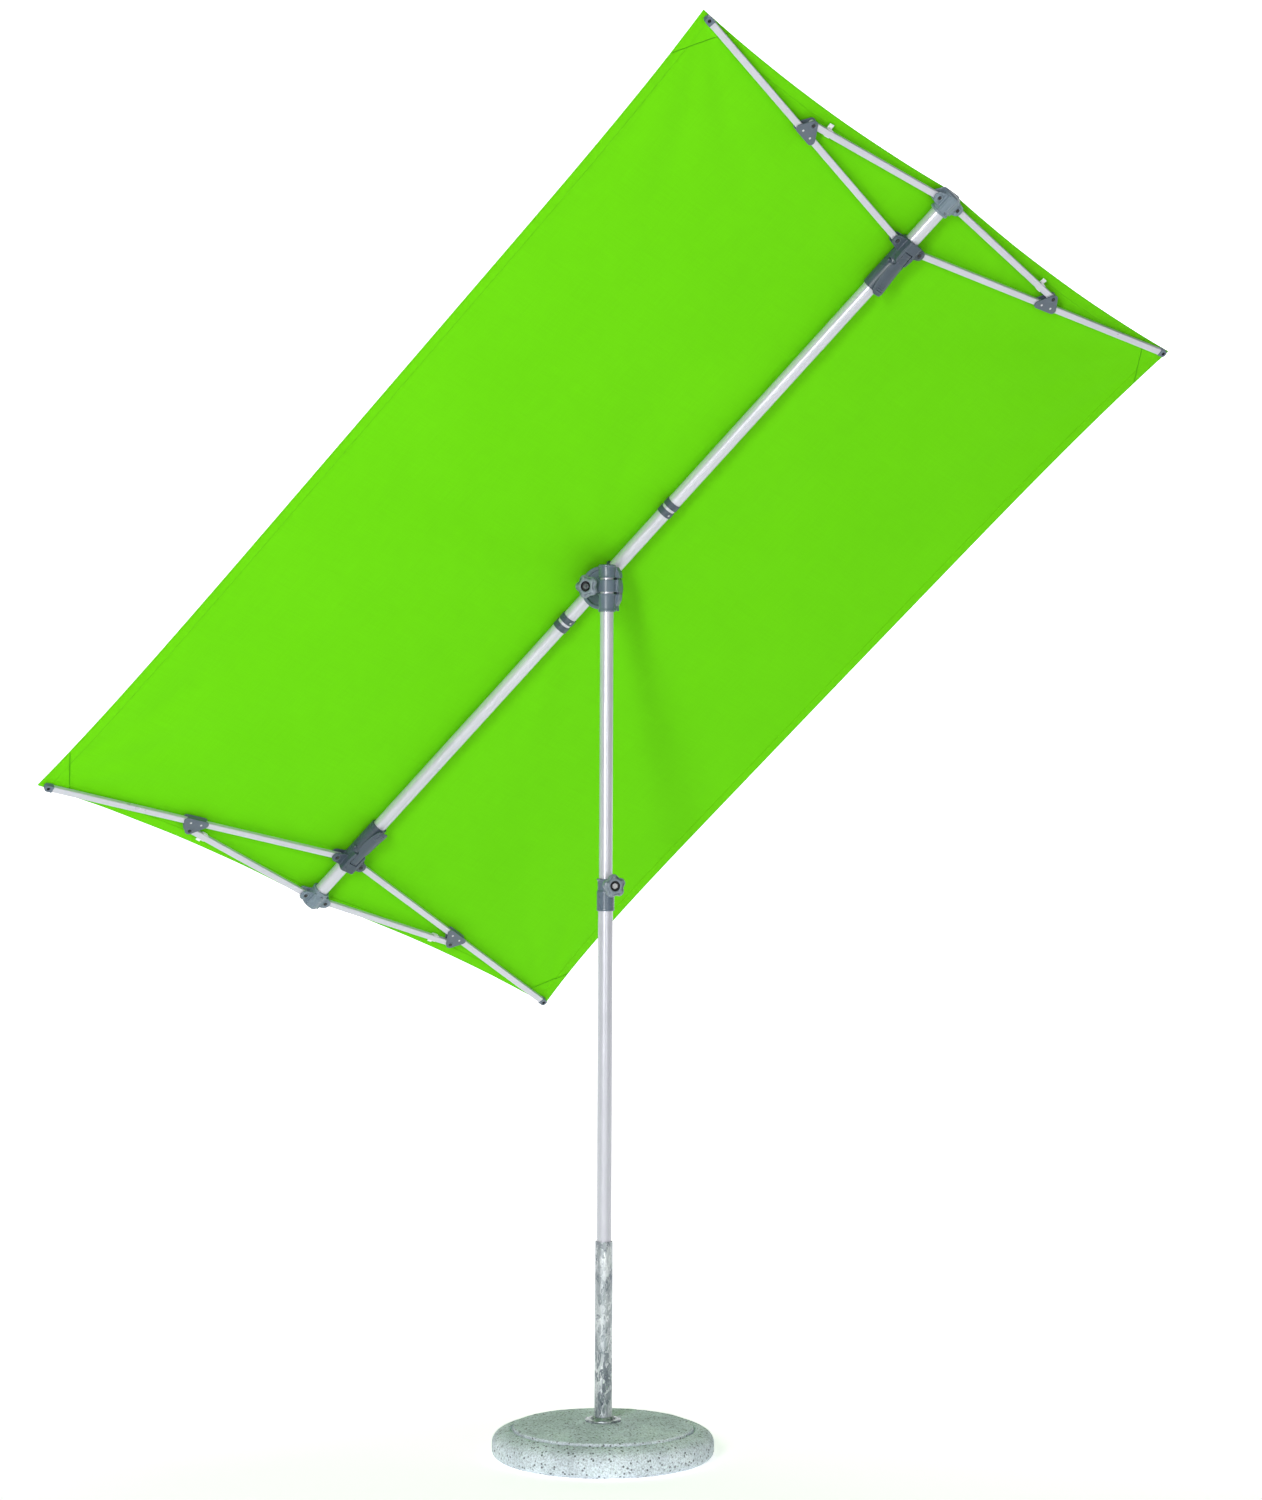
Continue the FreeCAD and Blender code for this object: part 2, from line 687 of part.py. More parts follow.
def crossbar_tubes():
    """Three tubes: a middle piece and two outer ones, joined over inner spigots."""
    joint = dim("bar_joint")
    middle = tube(
        "middle_wall", "dims.bar_outer_radius", "dims.bar_inner_radius", "2 * dims.bar_joint",
        bar_frame * Placement(Vector(-joint, 0, 0), ALONG_X),
    )
    node(middle, "crossbar_middle")
    spigots = []
    for end in ENDS:
        outer = tube(
            f"{end}_wall", "dims.bar_outer_radius", "dims.bar_inner_radius",
            "dims.bar_half_length - dims.bar_joint",
            end_frame(end) * Placement(Vector(joint, 0, 0), ALONG_X),
        )
        node(outer, f"crossbar_{end}")
        spigots.append(
            tube(
                f"{end}_spigot", "dims.bar_inner_radius", "dims.bar_inner_radius - dims.spigot_wall",
                "2 * dims.spigot_half_length",
                at(angle=ENDS[end])
                * Placement(Vector(joint - dim("spigot_half_length"), 0, 0), ALONG_X),
            )
        )
    node(group("spigot_pair", spigots, bar_frame), "crossbar_spigots")


def stop_collars():
    """Two plastic rings each side of the head cover each tube joint; one small screw holds them."""
    rings, screws = [], []
    for end in ENDS:
        turn = at(angle=ENDS[end])
        for step, name in ((-1, "inner"), (1, "outer")):
            near = dim("bar_joint") + step * (dim("ring_gap") + dim("ring_length")) / 2
            start = near - dim("ring_length") / 2
            rings.append(
                tube(
                    f"{end}_{name}_ring", "dims.ring_outer_radius", "dims.bar_outer_radius",
                    "dims.ring_length", turn * Placement(Vector(start, 0, 0), ALONG_X),
                )
            )
            if name == "inner":
                down = at(near, 0, -dim("ring_outer_radius") - dim("ring_screw_proud"))
                screws.append(
                    cylinder(
                        f"{end}_ring_screw", "dims.ring_screw_radius", "dims.ring_screw_proud",
                        turn * down,
                    )
                )
    node(group("ring_set", rings, bar_frame), "stop_collars")
    node(group("ring_screw_set", screws, bar_frame), "stop_collar_screws")


def twin_ears(prefix, centre_x, centre_y):
    """Two parallel plates that hold a pin at centre and grow out of a body on the crossbar's axis."""
    plates = []
    root_y = math.copysign(dim("ear_root"), centre_y)
    for side, name in ((-1, "under"), (1, "over")):
        bottom = dim("ear_inner_face") if side > 0 else -dim("ear_outer_face")
        eye = cylinder(
            f"{prefix}_{name}_eye", "dims.ear_radius", "dims.ear_outer_face - dims.ear_inner_face",
            at(centre_x, centre_y, bottom),
        )
        arm = box(
            f"{prefix}_{name}_arm", "2 * dims.ear_radius", f"{abs(centre_y)} - dims.ear_root",
            "dims.ear_outer_face - dims.ear_inner_face",
            at(centre_x - dim("ear_radius"), min(centre_y, root_y), bottom),
        )
        plates += [eye, arm]
    return plates


def crown(end):
    """Plastic end cap with a pair of ears each side for the struts."""
    body = cylinder(
        f"{end}_crown_body", "dims.crown_radius", "dims.crown_length",
        Placement(Vector(dim("crown_inner_face"), 0, 0), ALONG_X),
    )
    pieces = [body]
    for side, sign in SIDES.items():
        pieces += twin_ears(f"{end}_{side}_crown", crown_pivot.x, sign * crown_pivot.y)
    solid = fuse(f"{end}_crown_solid", pieces)
    socket = cylinder(
        f"{end}_crown_socket", "dims.bar_outer_radius", "dims.bar_half_length - dims.crown_inner_face",
        Placement(Vector(dim("crown_inner_face"), 0, 0), ALONG_X),
    )
    holes = [socket]
    for side, sign in SIDES.items():
        holes.append(
            cylinder(
                f"{end}_{side}_crown_hole", "dims.pin_radius", f"{THROUGH}",
                at(crown_pivot.x, sign * crown_pivot.y, -THROUGH / 2),
            )
        )
    hollow = fuse(f"{end}_crown_hollow", holes)
    node(cut(f"{end}_crown_piece", solid, hollow, end_frame(end)), f"crown_{end}")


def pin_heads(name, x, y, reach):
    """The low round heads of a rivet, reach above and below the plane of the end frame."""
    return [
        cylinder(
            f"{name}_head_{tag}", "dims.pin_radius + dims.pin_head_rim", "dims.pin_head_height",
            at(x, y, z),
        )
        for tag, z in (("over", reach), ("under", -reach - dim("pin_head_height")))
    ]


def pin(name, x, y, reach, placement):
    """A rivet with a head each side."""
    shank = cylinder(f"{name}_shank", "dims.pin_radius", f"{2 * reach}", at(x, y, -reach))
    return fuse(name, [shank, *pin_heads(name, x, y, reach)], placement)


def crown_fasteners():
    pins, screws = [], []
    for end in ENDS:
        turn = at(angle=ENDS[end])
        for side, sign in SIDES.items():
            pins.append(
                pin(
                    f"{end}_{side}_crown_pin", crown_pivot.x, sign * crown_pivot.y,
                    dim("ear_outer_face"), turn,
                )
            )
        down = at(
            dim("crown_inner_face") + dim("crown_screw_along"), 0,
            -dim("crown_radius") - dim("crown_screw_proud"),
        )
        screws.append(
            cylinder(
                f"{end}_crown_screw", "dims.crown_screw_radius", "dims.crown_screw_proud", turn * down
            )
        )
    node(group("crown_pin_set", pins, bar_frame), "crown_pins")
    node(group("crown_screw_set", screws, bar_frame), "crown_screws")


# ---------------------------------------------------------------- sliders

def slider(end):
    """Sleeve that runs on the crossbar, with twin ears for the ribs and a seat for the trigger."""
    start = dim("slider_inner_end")
    shell = cylinder(
        f"{end}_slider_shell", "dims.slider_outer_radius", "dims.slider_length",
        Placement(Vector(start, 0, 0), ALONG_X),
    )
    pieces = [shell]
    pivot_x, pivot_y = dim("slider_pivot_along"), dim("slider_pivot_aside")
    for side, sign in SIDES.items():
        pieces += twin_ears(f"{end}_{side}_slider", pivot_x, sign * pivot_y)
    half_seat, half_slot = dim("trigger_seat_width") / 2, dim("trigger_slot_width") / 2
    seat = box(
        f"{end}_trigger_seat", "dims.trigger_seat_length", "dims.trigger_seat_width",
        "dims.trigger_seat_height",
        at(start + dim("trigger_seat_start"), -half_seat, dim("trigger_seat_bottom")),
    )
    pieces.append(seat)
    solid = fuse(f"{end}_slider_solid", pieces)
    bore = cylinder(
        f"{end}_slider_bore", "dims.slider_inner_radius", f"{THROUGH}",
        Placement(Vector(start - 100, 0, 0), ALONG_X),
    )
    slot = box(
        f"{end}_trigger_slot", "dims.trigger_slot_length", "dims.trigger_slot_width", "10",
        at(start + dim("trigger_slot_start"), -half_slot, dim("trigger_slot_top") - 10),
    )
    axle_line = Placement(
        Vector(start + dim("trigger_axle_along"), -half_seat, dim("trigger_axle_height")), ALONG_Y
    )
    axle = cylinder(
        f"{end}_trigger_axle_hole", "dims.trigger_hole_radius", "dims.trigger_seat_width", axle_line
    )
    hollow = fuse(f"{end}_slider_hollow", [bore, slot, axle])
    node(cut(f"{end}_slider_piece", solid, hollow, end_frame(end)), f"slider_{end}")

    rivets = []
    for side, sign in SIDES.items():
        rivets += pin_heads(f"{end}_{side}_rivet", pivot_x, sign * pivot_y, dim("ear_outer_face"))
    rivets.append(
        cylinder(
            f"{end}_trigger_axle", "dims.trigger_axle_radius", "dims.trigger_seat_width", axle_line
        )
    )
    node(group(f"{end}_rivet_set", rivets, end_frame(end)), f"slider_pins_{end}")


def trigger(end):
    """Press lever under the slider; it rocks on its axle and its long end is the thumb wing."""
    start = dim("slider_inner_end")
    body = document.addObject("PartDesign::Body", f"{end}_trigger_body")
    sketch = sketch_on(body, "XZ_Plane", f"{end}_trigger_profile")
    nose, wing, axle = start + 102.5, start + 6, start + dim("trigger_axle_along")
    outline = [
        (nose, -19.4), (nose, -22.6), (axle, -24.4), (start + 60, -24.2),
        (start + 24, -27.5), (wing, -31.5), (wing + 2, -28.6), (start + 28, -24.4),
        (start + 60, -21.8), (axle - 12, -19.4),
    ]
    closed_outline(sketch, outline)
    pad = body.newObject("PartDesign::Pad", f"{end}_trigger_pad")
    pad.Profile = sketch
    bind(pad, Length="dims.trigger_width")
    pad.Midplane = True
    axle_line = Placement(
        Vector(axle, -dim("trigger_width") / 2, dim("trigger_axle_height")), ALONG_Y
    )
    hole = cylinder(f"{end}_trigger_hole", "dims.trigger_hole_radius", "dims.trigger_width", axle_line)
    eye = cylinder(f"{end}_trigger_eye", "dims.trigger_eye_radius", "dims.trigger_width", axle_line)
    keep = box(
        f"{end}_trigger_keep", f"{THROUGH}", "2 * dims.trigger_width", "60",
        at(start - 50, -dim("trigger_width"), dim("trigger_top") - 60),
    )
    lever = fuse(f"{end}_trigger_solid", [body, eye])
    trimmed = document.addObject("Part::Common", f"{end}_trigger_trimmed")
    trimmed.Base, trimmed.Tool = lever, keep
    node(cut(f"{end}_trigger_piece", trimmed, hole, end_frame(end)), f"trigger_{end}")


# ---------------------------------------------------------------- ribs and struts

def bar_profile(name, length, depth, placement):
    """A rectangular tube along local X, centred on the axis, with rounded long edges."""
    width, wall = dim("rib_width"), dim("rib_wall")
    outside = box(
        f"{name}_outside", f"{length}", "dims.rib_width", depth,
        at(0, -width / 2, 0),
    )
    document.recompute()
    edges = [
        (i, dim("rib_rounding"), dim("rib_rounding"))
        for i, edge in enumerate(outside.Shape.Edges, start=1)
        if abs(edge.BoundBox.XLength - length) < 1e-6
    ]
    rounded = document.addObject("Part::Fillet", f"{name}_rounded")
    rounded.Base = outside
    rounded.Edges = edges
    inside = box(
        f"{name}_inside", f"{length}", "dims.rib_width - 2 * dims.rib_wall", f"{depth} - 2 * dims.rib_wall",
        at(0, -width / 2 + wall, wall),
    )
    return cut(name, rounded, inside, placement)


def elbow_bracket(end, side):
    """Two rounded triangular plates on the rib, joined by a spine, with the strut's pin at the apex."""
    sign = SIDES[side]
    along, aside = dim("elbow_along"), -sign * dim("elbow_aside")
    half_rib = dim("rib_width") / 2
    half_depth = dim("rib_depth") / 2
    spine_width = dim("elbow_spine")
    plates = []
    for tag, bottom in (("over", half_depth), ("under", -half_depth - dim("elbow_plate"))):
        body = document.addObject("PartDesign::Body", f"{end}_{side}_elbow_{tag}")
        sketch = sketch_on(body, "XY_Plane", f"{end}_{side}_elbow_{tag}_outline")
        foot = sign * (half_rib + spine_width)
        tip = aside - sign * 9.0
        start = along - dim("elbow_plate_before")
        finish = start + dim("elbow_plate_length")
        closed_outline(sketch, [
            (start, foot), (finish, foot), (finish, foot - sign * 12.0),
            (along + 9.0, tip), (along - 8.0, tip), (start, foot - sign * 12.0),
        ])
        pad = body.newObject("PartDesign::Pad", f"{end}_{side}_elbow_{tag}_pad")
        pad.Profile = sketch
        bind(pad, Length="dims.elbow_plate")
        document.recompute()
        corners = [
            f"Edge{i}" for i, edge in enumerate(pad.Shape.Edges, start=1)
            if abs(edge.BoundBox.ZLength - dim("elbow_plate")) < 1e-6
        ]
        rounded = body.newObject("PartDesign::Fillet", f"{end}_{side}_elbow_{tag}_round")
        rounded.Base = (pad, corners)
        rounded.Radius = dim("elbow_rounding")
        body.Tip = rounded
        body.Placement = at(z=bottom)
        plates.append(body)
    spine_y = half_rib if sign > 0 else -half_rib - spine_width
    spine_start = along - dim("elbow_plate_before") + dim("elbow_spine_inset")
    spine = box(
        f"{end}_{side}_elbow_spine", "dims.elbow_plate_length - 2 * dims.elbow_spine_inset",
        "dims.elbow_spine", "dims.rib_depth", at(spine_start, spine_y, -half_depth),
    )
    solid = fuse(f"{end}_{side}_elbow_solid", [*plates, spine])
    hole = cylinder(
        f"{end}_{side}_elbow_hole", "dims.pin_radius", f"{THROUGH}", at(along, aside, -THROUGH / 2)
    )
    bracket = cut(f"{end}_{side}_elbow_piece", solid, hole, rib_frame(end, side))
    node(bracket, f"elbow_bracket_{end}_{side}")
    reach = half_depth + dim("elbow_plate")
    rivet = pin(f"{end}_{side}_elbow_rivet", along, aside, reach, rib_frame(end, side))
    node(rivet, f"elbow_pin_{end}_{side}")


def rib(end, side):
    frame = rib_frame(end, side)
    length = dim("rib_length") - dim("rib_cap_length") + dim("rib_inner_overrun")
    lowered = frame * at(-dim("rib_inner_overrun"), 0, -dim("rib_depth") / 2)
    node(bar_profile(f"{end}_{side}_rib", length, "dims.rib_depth", lowered), f"rib_{end}_{side}")
    cap_start = dim("rib_length") - dim("rib_cap_length")
    proud = dim("rib_cap_proud")
    cap = box(
        f"{end}_{side}_cap_body", "dims.rib_cap_length", "dims.rib_width + 2 * dims.rib_cap_proud",
        "dims.rib_depth + 2 * dims.rib_cap_proud",
        at(cap_start, -dim("rib_width") / 2 - proud, -dim("rib_depth") / 2 - proud),
    )
    document.recompute()
    edge_count = len(cap.Shape.Edges)
    corners = [(i, dim("rib_rounding"), dim("rib_rounding")) for i in range(1, edge_count + 1)]
    rounded = document.addObject("Part::Fillet", f"{end}_{side}_cap_round")
    rounded.Base = cap
    rounded.Edges = corners
    eyelet = cylinder(
        f"{end}_{side}_cap_eyelet", "dims.rib_cap_eyelet_radius", f"{THROUGH}",
        at(cap_start + dim("rib_cap_eyelet_along"), 0, -THROUGH / 2),
    )
    node(cut(f"{end}_{side}_cap_piece", rounded, eyelet, frame), f"rib_cap_{end}_{side}")


def strut(end, side):
    """Rectangular tube with a plastic eye plug at each end."""
    frame = strut_frame(end, side)
    half = dim("strut_depth") / 2
    outer = bar_profile(
        f"{end}_{side}_strut_tube", STRUT_LENGTH, "dims.strut_depth", at(z=-half)
    )
    ends = [
        cylinder(f"{end}_{side}_strut_eye_{tag}", "dims.strut_eye_radius", "dims.strut_depth", at(x, 0, -half))
        for tag, x in (("crown", 0.0), ("elbow", STRUT_LENGTH))
    ]
    solid = fuse(f"{end}_{side}_strut_solid", [outer, *ends])
    holes = fuse(
        f"{end}_{side}_strut_holes",
        [
            cylinder(
                f"{end}_{side}_strut_hole_{tag}", "dims.pin_radius + dims.pin_clearance",
                f"{THROUGH}", at(x, 0, -THROUGH / 2),
            )
            for tag, x in (("crown", 0.0), ("elbow", STRUT_LENGTH))
        ],
    )
    node(cut(f"{end}_{side}_strut_piece", solid, holes, frame), f"strut_{end}_{side}")
    along = dim("hook_along")
    clip = box(
        f"{end}_{side}_hook_base", "dims.hook_base_length", "dims.hook_base_width",
        "dims.hook_base_height",
        at(along - dim("hook_base_length") / 2, -dim("hook_base_width") / 2, half),
    )
    post = cylinder(
        f"{end}_{side}_hook_post", "dims.hook_post_radius", "dims.hook_post_height", at(along, 0, half)
    )
    node(fuse(f"{end}_{side}_hook_piece", [clip, post], frame), f"fabric_hook_{end}_{side}")


# ---------------------------------------------------------------- canopy

def canopy_height(share_across):
    """Height of the sail over the crossbar's axis, falling evenly from the ridge to the corners."""
    drop = dim("canopy_ridge_height") - dim("canopy_corner_height")
    return dim("canopy_ridge_height") - drop * share_across


def canopy():
    """The sail as a thin closed tent between ridge and long edges, cut to its hollow outline."""
    length, width = dim("canopy_half_length"), dim("canopy_half_width")
    thickness = dim("canopy_thickness")
    section = [
        Vector(0, -width, canopy_height(1.0)), Vector(0, 0, canopy_height(0.0)),
        Vector(0, width, canopy_height(1.0)),
    ]
    lifted = [point + Vector(0, 0, thickness) for point in reversed(section)]
    wire = Part.makePolygon([*section, *lifted, section[0]])
    slab = Part.Face(wire).extrude(Vector(2 * length, 0, 0))
    slab.translate(Vector(-length, 0, 0))
    middle = length - dim("canopy_middle_inset")
    quarter = length - dim("canopy_short_edge_sag") - dim("canopy_middle_inset") / 2
    edges = []
    corners = [(length, -width), (length, 0), (length, width)]
    for sign in (1, -1):
        points = [Vector(sign * x, sign * y, 0) for x, y in corners]
        points[1] = Vector(sign * middle, 0, 0)
        for start, end in zip(points, points[1:]):
            sag = Vector(sign * quarter, (start.y + end.y) / 2, 0)
            edges.append(Part.Arc(start, sag, end).toShape())
        sideways = Vector(0, sign * (width - dim("canopy_long_edge_sag")), 0)
        edges.append(
            Part.Arc(points[-1], sideways, Vector(-sign * length, sign * width, 0)).toShape()
        )
    outline = Part.Face(Part.Wire(edges))
    cutter = outline.extrude(Vector(0, 0, THROUGH))
    sail = document.addObject("Part::Feature", "canopy_sail")
    sail.Shape = slab.common(cutter)
    sail.Placement = bar_frame
    node(sail, "canopy_fabric")


def build():
    concrete_base()
    stand_tube()
    lower_pole()
    height_collar()
    height_knob()
    upper_pole()
    head_sleeve()
    clamp_band()
    head_knob()
    tilt_saddle()
    tilt_bolt()
    saddle_liner()
    crossbar_tubes()
    stop_collars()
    crown_fasteners()
    for end in ENDS:
        crown(end)
        slider(end)
        trigger(end)
        for side in SIDES:
            rib(end, side)
            elbow_bracket(end, side)
            strut(end, side)
    canopy()


def check():
    document.recompute()
    for thing in document.Objects:
        if "Invalid" in thing.State or "Error" in thing.State:
            raise RuntimeError(f"{thing.Label} failed: {thing.State}")
    for name, thing in nodes.items():
        shape = thing.Shape
        if shape.isNull() or not shape.isValid() or not shape.Solids:
            raise RuntimeError(f"{name} has no valid solid")


def write():
    os.makedirs("parts", exist_ok=True)
    for name, thing in nodes.items():
        thing.Shape.exportStep(f"parts/{name}.step")
    print(f"{len(nodes)} nodes written")


build()
check()
write()
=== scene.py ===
"""Looks for the patio umbrella with base: fabric sail, metal tubes, moulded fittings, concrete base."""
import json
import math

import bmesh
import bpy
from mathutils import Matrix, Vector, noise

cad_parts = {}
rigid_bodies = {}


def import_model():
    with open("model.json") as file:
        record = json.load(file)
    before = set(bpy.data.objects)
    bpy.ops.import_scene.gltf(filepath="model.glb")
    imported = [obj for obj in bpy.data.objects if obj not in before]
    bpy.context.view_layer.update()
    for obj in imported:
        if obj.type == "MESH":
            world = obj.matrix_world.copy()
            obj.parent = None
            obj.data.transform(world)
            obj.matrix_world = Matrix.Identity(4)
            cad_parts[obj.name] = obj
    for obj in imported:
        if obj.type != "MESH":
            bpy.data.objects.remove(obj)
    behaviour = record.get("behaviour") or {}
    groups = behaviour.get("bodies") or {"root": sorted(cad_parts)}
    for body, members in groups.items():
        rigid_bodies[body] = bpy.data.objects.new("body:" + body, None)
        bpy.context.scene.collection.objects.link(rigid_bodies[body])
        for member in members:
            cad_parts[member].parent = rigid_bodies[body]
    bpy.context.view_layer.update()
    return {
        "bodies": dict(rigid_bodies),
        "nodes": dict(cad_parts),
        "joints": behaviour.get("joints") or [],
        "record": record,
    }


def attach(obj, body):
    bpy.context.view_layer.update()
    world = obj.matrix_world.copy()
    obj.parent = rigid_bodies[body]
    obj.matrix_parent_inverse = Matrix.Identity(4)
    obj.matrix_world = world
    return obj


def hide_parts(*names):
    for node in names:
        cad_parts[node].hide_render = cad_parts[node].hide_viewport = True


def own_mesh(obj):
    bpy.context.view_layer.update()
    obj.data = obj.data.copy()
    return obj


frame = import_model()
nodes = frame["nodes"]

# ---------------------------------------------------------------- dimensions, in metres

BOLT_HEIGHT = 1.819
BOLT_BESIDE_POLE = 0.027
BAR_BEHIND, BAR_ABOVE, BAR_SHIFT = 0.0625, 0.022, 0.047
SWING, ELEVATION, ROLL = math.radians(-26.2), math.radians(44.2), math.radians(61.1)
HALF_LENGTH, HALF_WIDTH = 1.05, 0.75          # sail, crossbar's middle to its corners
LONG_SAG = {-1: (0.0175, 0.0), 1: (0.0290, -0.0060)}   # hollow of each long edge: middle, and its lean
SHORT_MIDDLE, SHORT_RISE, SHORT_FALL = 0.0015, 0.0615, -0.0630   # hollow of a short edge
RIDGE_HEIGHT, CORNER_HEIGHT = 0.0206, 0.0070
SAIL_THICKNESS = 0.0009
RIDGE_ROUNDING = 0.03                         # of half the sail's width
HEM_WIDTH, HEM_DEPTH = 0.024, 0.0011
HEM_SEAMS = ((0.0220, 0.0240), (0.0015, 0.0030))   # stitched lines, as distances in from the edge
LONG_FOLD, FINE_FOLD, CORNER_FOLD, HEAD_FOLD = 0.0030, 0.0011, 0.0019, 0.0016   # heights of the cloth's folds
CORNER_RAYS, HEAD_RAYS = 15.0, 11.0           # phase of the fanned folds, per radian of turn
LONG_SLACK = 0.0006                           # extra lift of the cloth midway along the sail
FOLD_SOFTNESS = 0.0030                        # folds rise from the frame and hardly dip towards it


def shifted(x=0.0, y=0.0, z=0.0):
    return Matrix.Translation((x, y, z))


head_frame = shifted(z=BOLT_HEIGHT) @ Matrix.Rotation(SWING, 4, "Z")
tilt_frame = head_frame @ shifted(x=-BOLT_BESIDE_POLE) @ Matrix.Rotation(-ELEVATION, 4, "Y")
bar_frame = (
    tilt_frame @ shifted(BAR_SHIFT, BAR_BEHIND, BAR_ABOVE)
    @ Matrix.Rotation(ROLL - math.pi / 2, 4, "X")
)
ENDS = {"upper": 0.0, "lower": math.pi}
SIDES = {"left": -1, "right": 1}
MM = Matrix.Scale(0.001, 4)                   # small parts are drawn in millimetres
RIB_PIVOT_ALONG, RIB_PIVOT_ASIDE, RIB_TURN = 0.9095, 0.0346, math.radians(79.3)
STRUT_PIVOT_ALONG, STRUT_PIVOT_ASIDE, STRUT_TURN = 1.029, 0.0288, math.radians(95.0521)


def end_frame(end):
    """X runs from the crossbar's middle out to this end, and Z to the sunny side."""
    return bar_frame @ Matrix.Rotation(ENDS[end], 4, "Z")


def rib_frame(end, side):
    sign = SIDES[side]
    pivot = end_frame(end) @ shifted(RIB_PIVOT_ALONG, sign * RIB_PIVOT_ASIDE)
    return pivot @ Matrix.Rotation(sign * RIB_TURN, 4, "Z")


def strut_frame(end, side):
    sign = SIDES[side]
    pivot = end_frame(end) @ shifted(STRUT_PIVOT_ALONG, sign * STRUT_PIVOT_ASIDE)
    return pivot @ Matrix.Rotation(sign * STRUT_TURN, 4, "Z")


bar_centre = bar_frame.translation.copy()


# ---------------------------------------------------------------- materials

class Shader:
    """A material and short ways to add and join its nodes."""

    def __init__(self, name, roughness, metallic=0.0, **constants):
        self.material = bpy.data.materials.new(name)
        self.material.use_nodes = True
        self.tree = self.material.node_tree
        self.surface = self.tree.nodes["Principled BSDF"]
        self.surface.inputs["Roughness"].default_value = roughness
        self.surface.inputs["Metallic"].default_value = metallic
        for socket, number in constants.items():
            self.surface.inputs[socket.replace("_", " ")].default_value = number

    def add(self, kind, settings=None, **inputs):
        made = self.tree.nodes.new(kind)
        for key, setting in (settings or {}).items():
            setattr(made, key, setting)
        for socket, source in inputs.items():
            self.join(source, made.inputs[socket.replace("_", " ")])
        return made

    def join(self, source, socket):
        if isinstance(source, bpy.types.NodeSocket):
            self.tree.links.new(source, socket)
        else:
            socket.default_value = source

    def place(self, scale=(1, 1, 1), kind="Object"):
        """Coordinates of the surface, stretched by a scale for each axis."""
        where = self.add("ShaderNodeTexCoord")
        mapping = self.add("ShaderNodeMapping", Vector=where.outputs[kind])
        mapping.inputs["Scale"].default_value = scale
        return mapping.outputs["Vector"]

    def noise(self, vector, scale, detail, roughness=0.55):
        made = self.add(
            "ShaderNodeTexNoise", Vector=vector, Scale=scale, Detail=detail, Roughness=roughness
        )
        return made.outputs["Fac"]

    def cells(self, vector, scale, output="Distance"):
        return self.add("ShaderNodeTexVoronoi", Vector=vector, Scale=scale).outputs[output]

    def ramp(self, factor, stops):
        """Colour or grey ramp; stops are (position, colour)."""
        made = self.add("ShaderNodeValToRGB", Fac=factor)
        band = made.color_ramp
        while len(band.elements) < len(stops):
            band.elements.new(0.5)
        for element, (position, colour) in zip(band.elements, stops):
            element.position = position
            element.color = (*colour, 1.0) if hasattr(colour, "__len__") else (colour,) * 3 + (1.0,)
        return made.outputs["Color"]

    def calc(self, operation, first, second=0.0):
        made = self.add("ShaderNodeMath", {"operation": operation})
        self.join(first, made.inputs[0])
        self.join(second, made.inputs[1])
        return made.outputs["Value"]

    def mix(self, factor, first, second, blend):
        made = self.add("ShaderNodeMix", {"data_type": "RGBA", "blend_type": blend})
        self.join(factor, made.inputs[0])
        self.join(first, made.inputs[6])
        self.join(second, made.inputs[7])
        return made.outputs[2]

    def finish(self, colour, height=None, bump=0.2, distance=0.001, roughness=None):
        """Joins the colour and, where given, the roughness and a height for fine relief."""
        self.join(colour, self.surface.inputs["Base Color"])
        if roughness is not None:
            self.join(roughness, self.surface.inputs["Roughness"])
        if height is not None:
            relief = self.add("ShaderNodeBump", Height=height, Strength=bump, Distance=distance)
            self.join(relief.outputs["Normal"], self.surface.inputs["Normal"])
        return self.material


def moulded_plastic(name, colour, light, gloss=0.42):
    """Fine-grained moulded plastic with faint flow marks."""
    shader = Shader(name, gloss, Specular_IOR_Level=0.45)
    where = shader.place()
    flow = shader.noise(where, 22.0, 3.0)
    grain = shader.noise(where, 900.0, 2.0)
    tone = shader.ramp(flow, [(0.30, colour), (0.72, light)])
    speck = shader.ramp(grain, [(0.35, 0.90), (0.65, 1.08)])
    rough = shader.ramp(flow, [(0.3, gloss - 0.06), (0.7, gloss + 0.08)])
    return shader.finish(
        shader.mix(0.35, tone, speck, "MULTIPLY"), grain, 0.25, 0.0002, rough
    )


def coated_aluminium(name, colour, light):
    """Satin silver coating with long drawing marks and a fine sparkle."""
    shader = Shader(name, 0.30, 0.30, Specular_IOR_Level=0.6)
    where = shader.place()
    cloud = shader.noise(where, 7.0, 3.0)
    sparkle = shader.noise(where, 1500.0, 1.0)
    tone = shader.ramp(cloud, [(0.3, colour), (0.7, light)])
    fleck = shader.ramp(sparkle, [(0.30, 0.94), (0.70, 1.04)])
    rough = shader.ramp(cloud, [(0.3, 0.27), (0.7, 0.34)])
    return shader.finish(
        shader.mix(0.6, tone, fleck, "MULTIPLY"), sparkle, 0.06, 0.0001, rough
    )


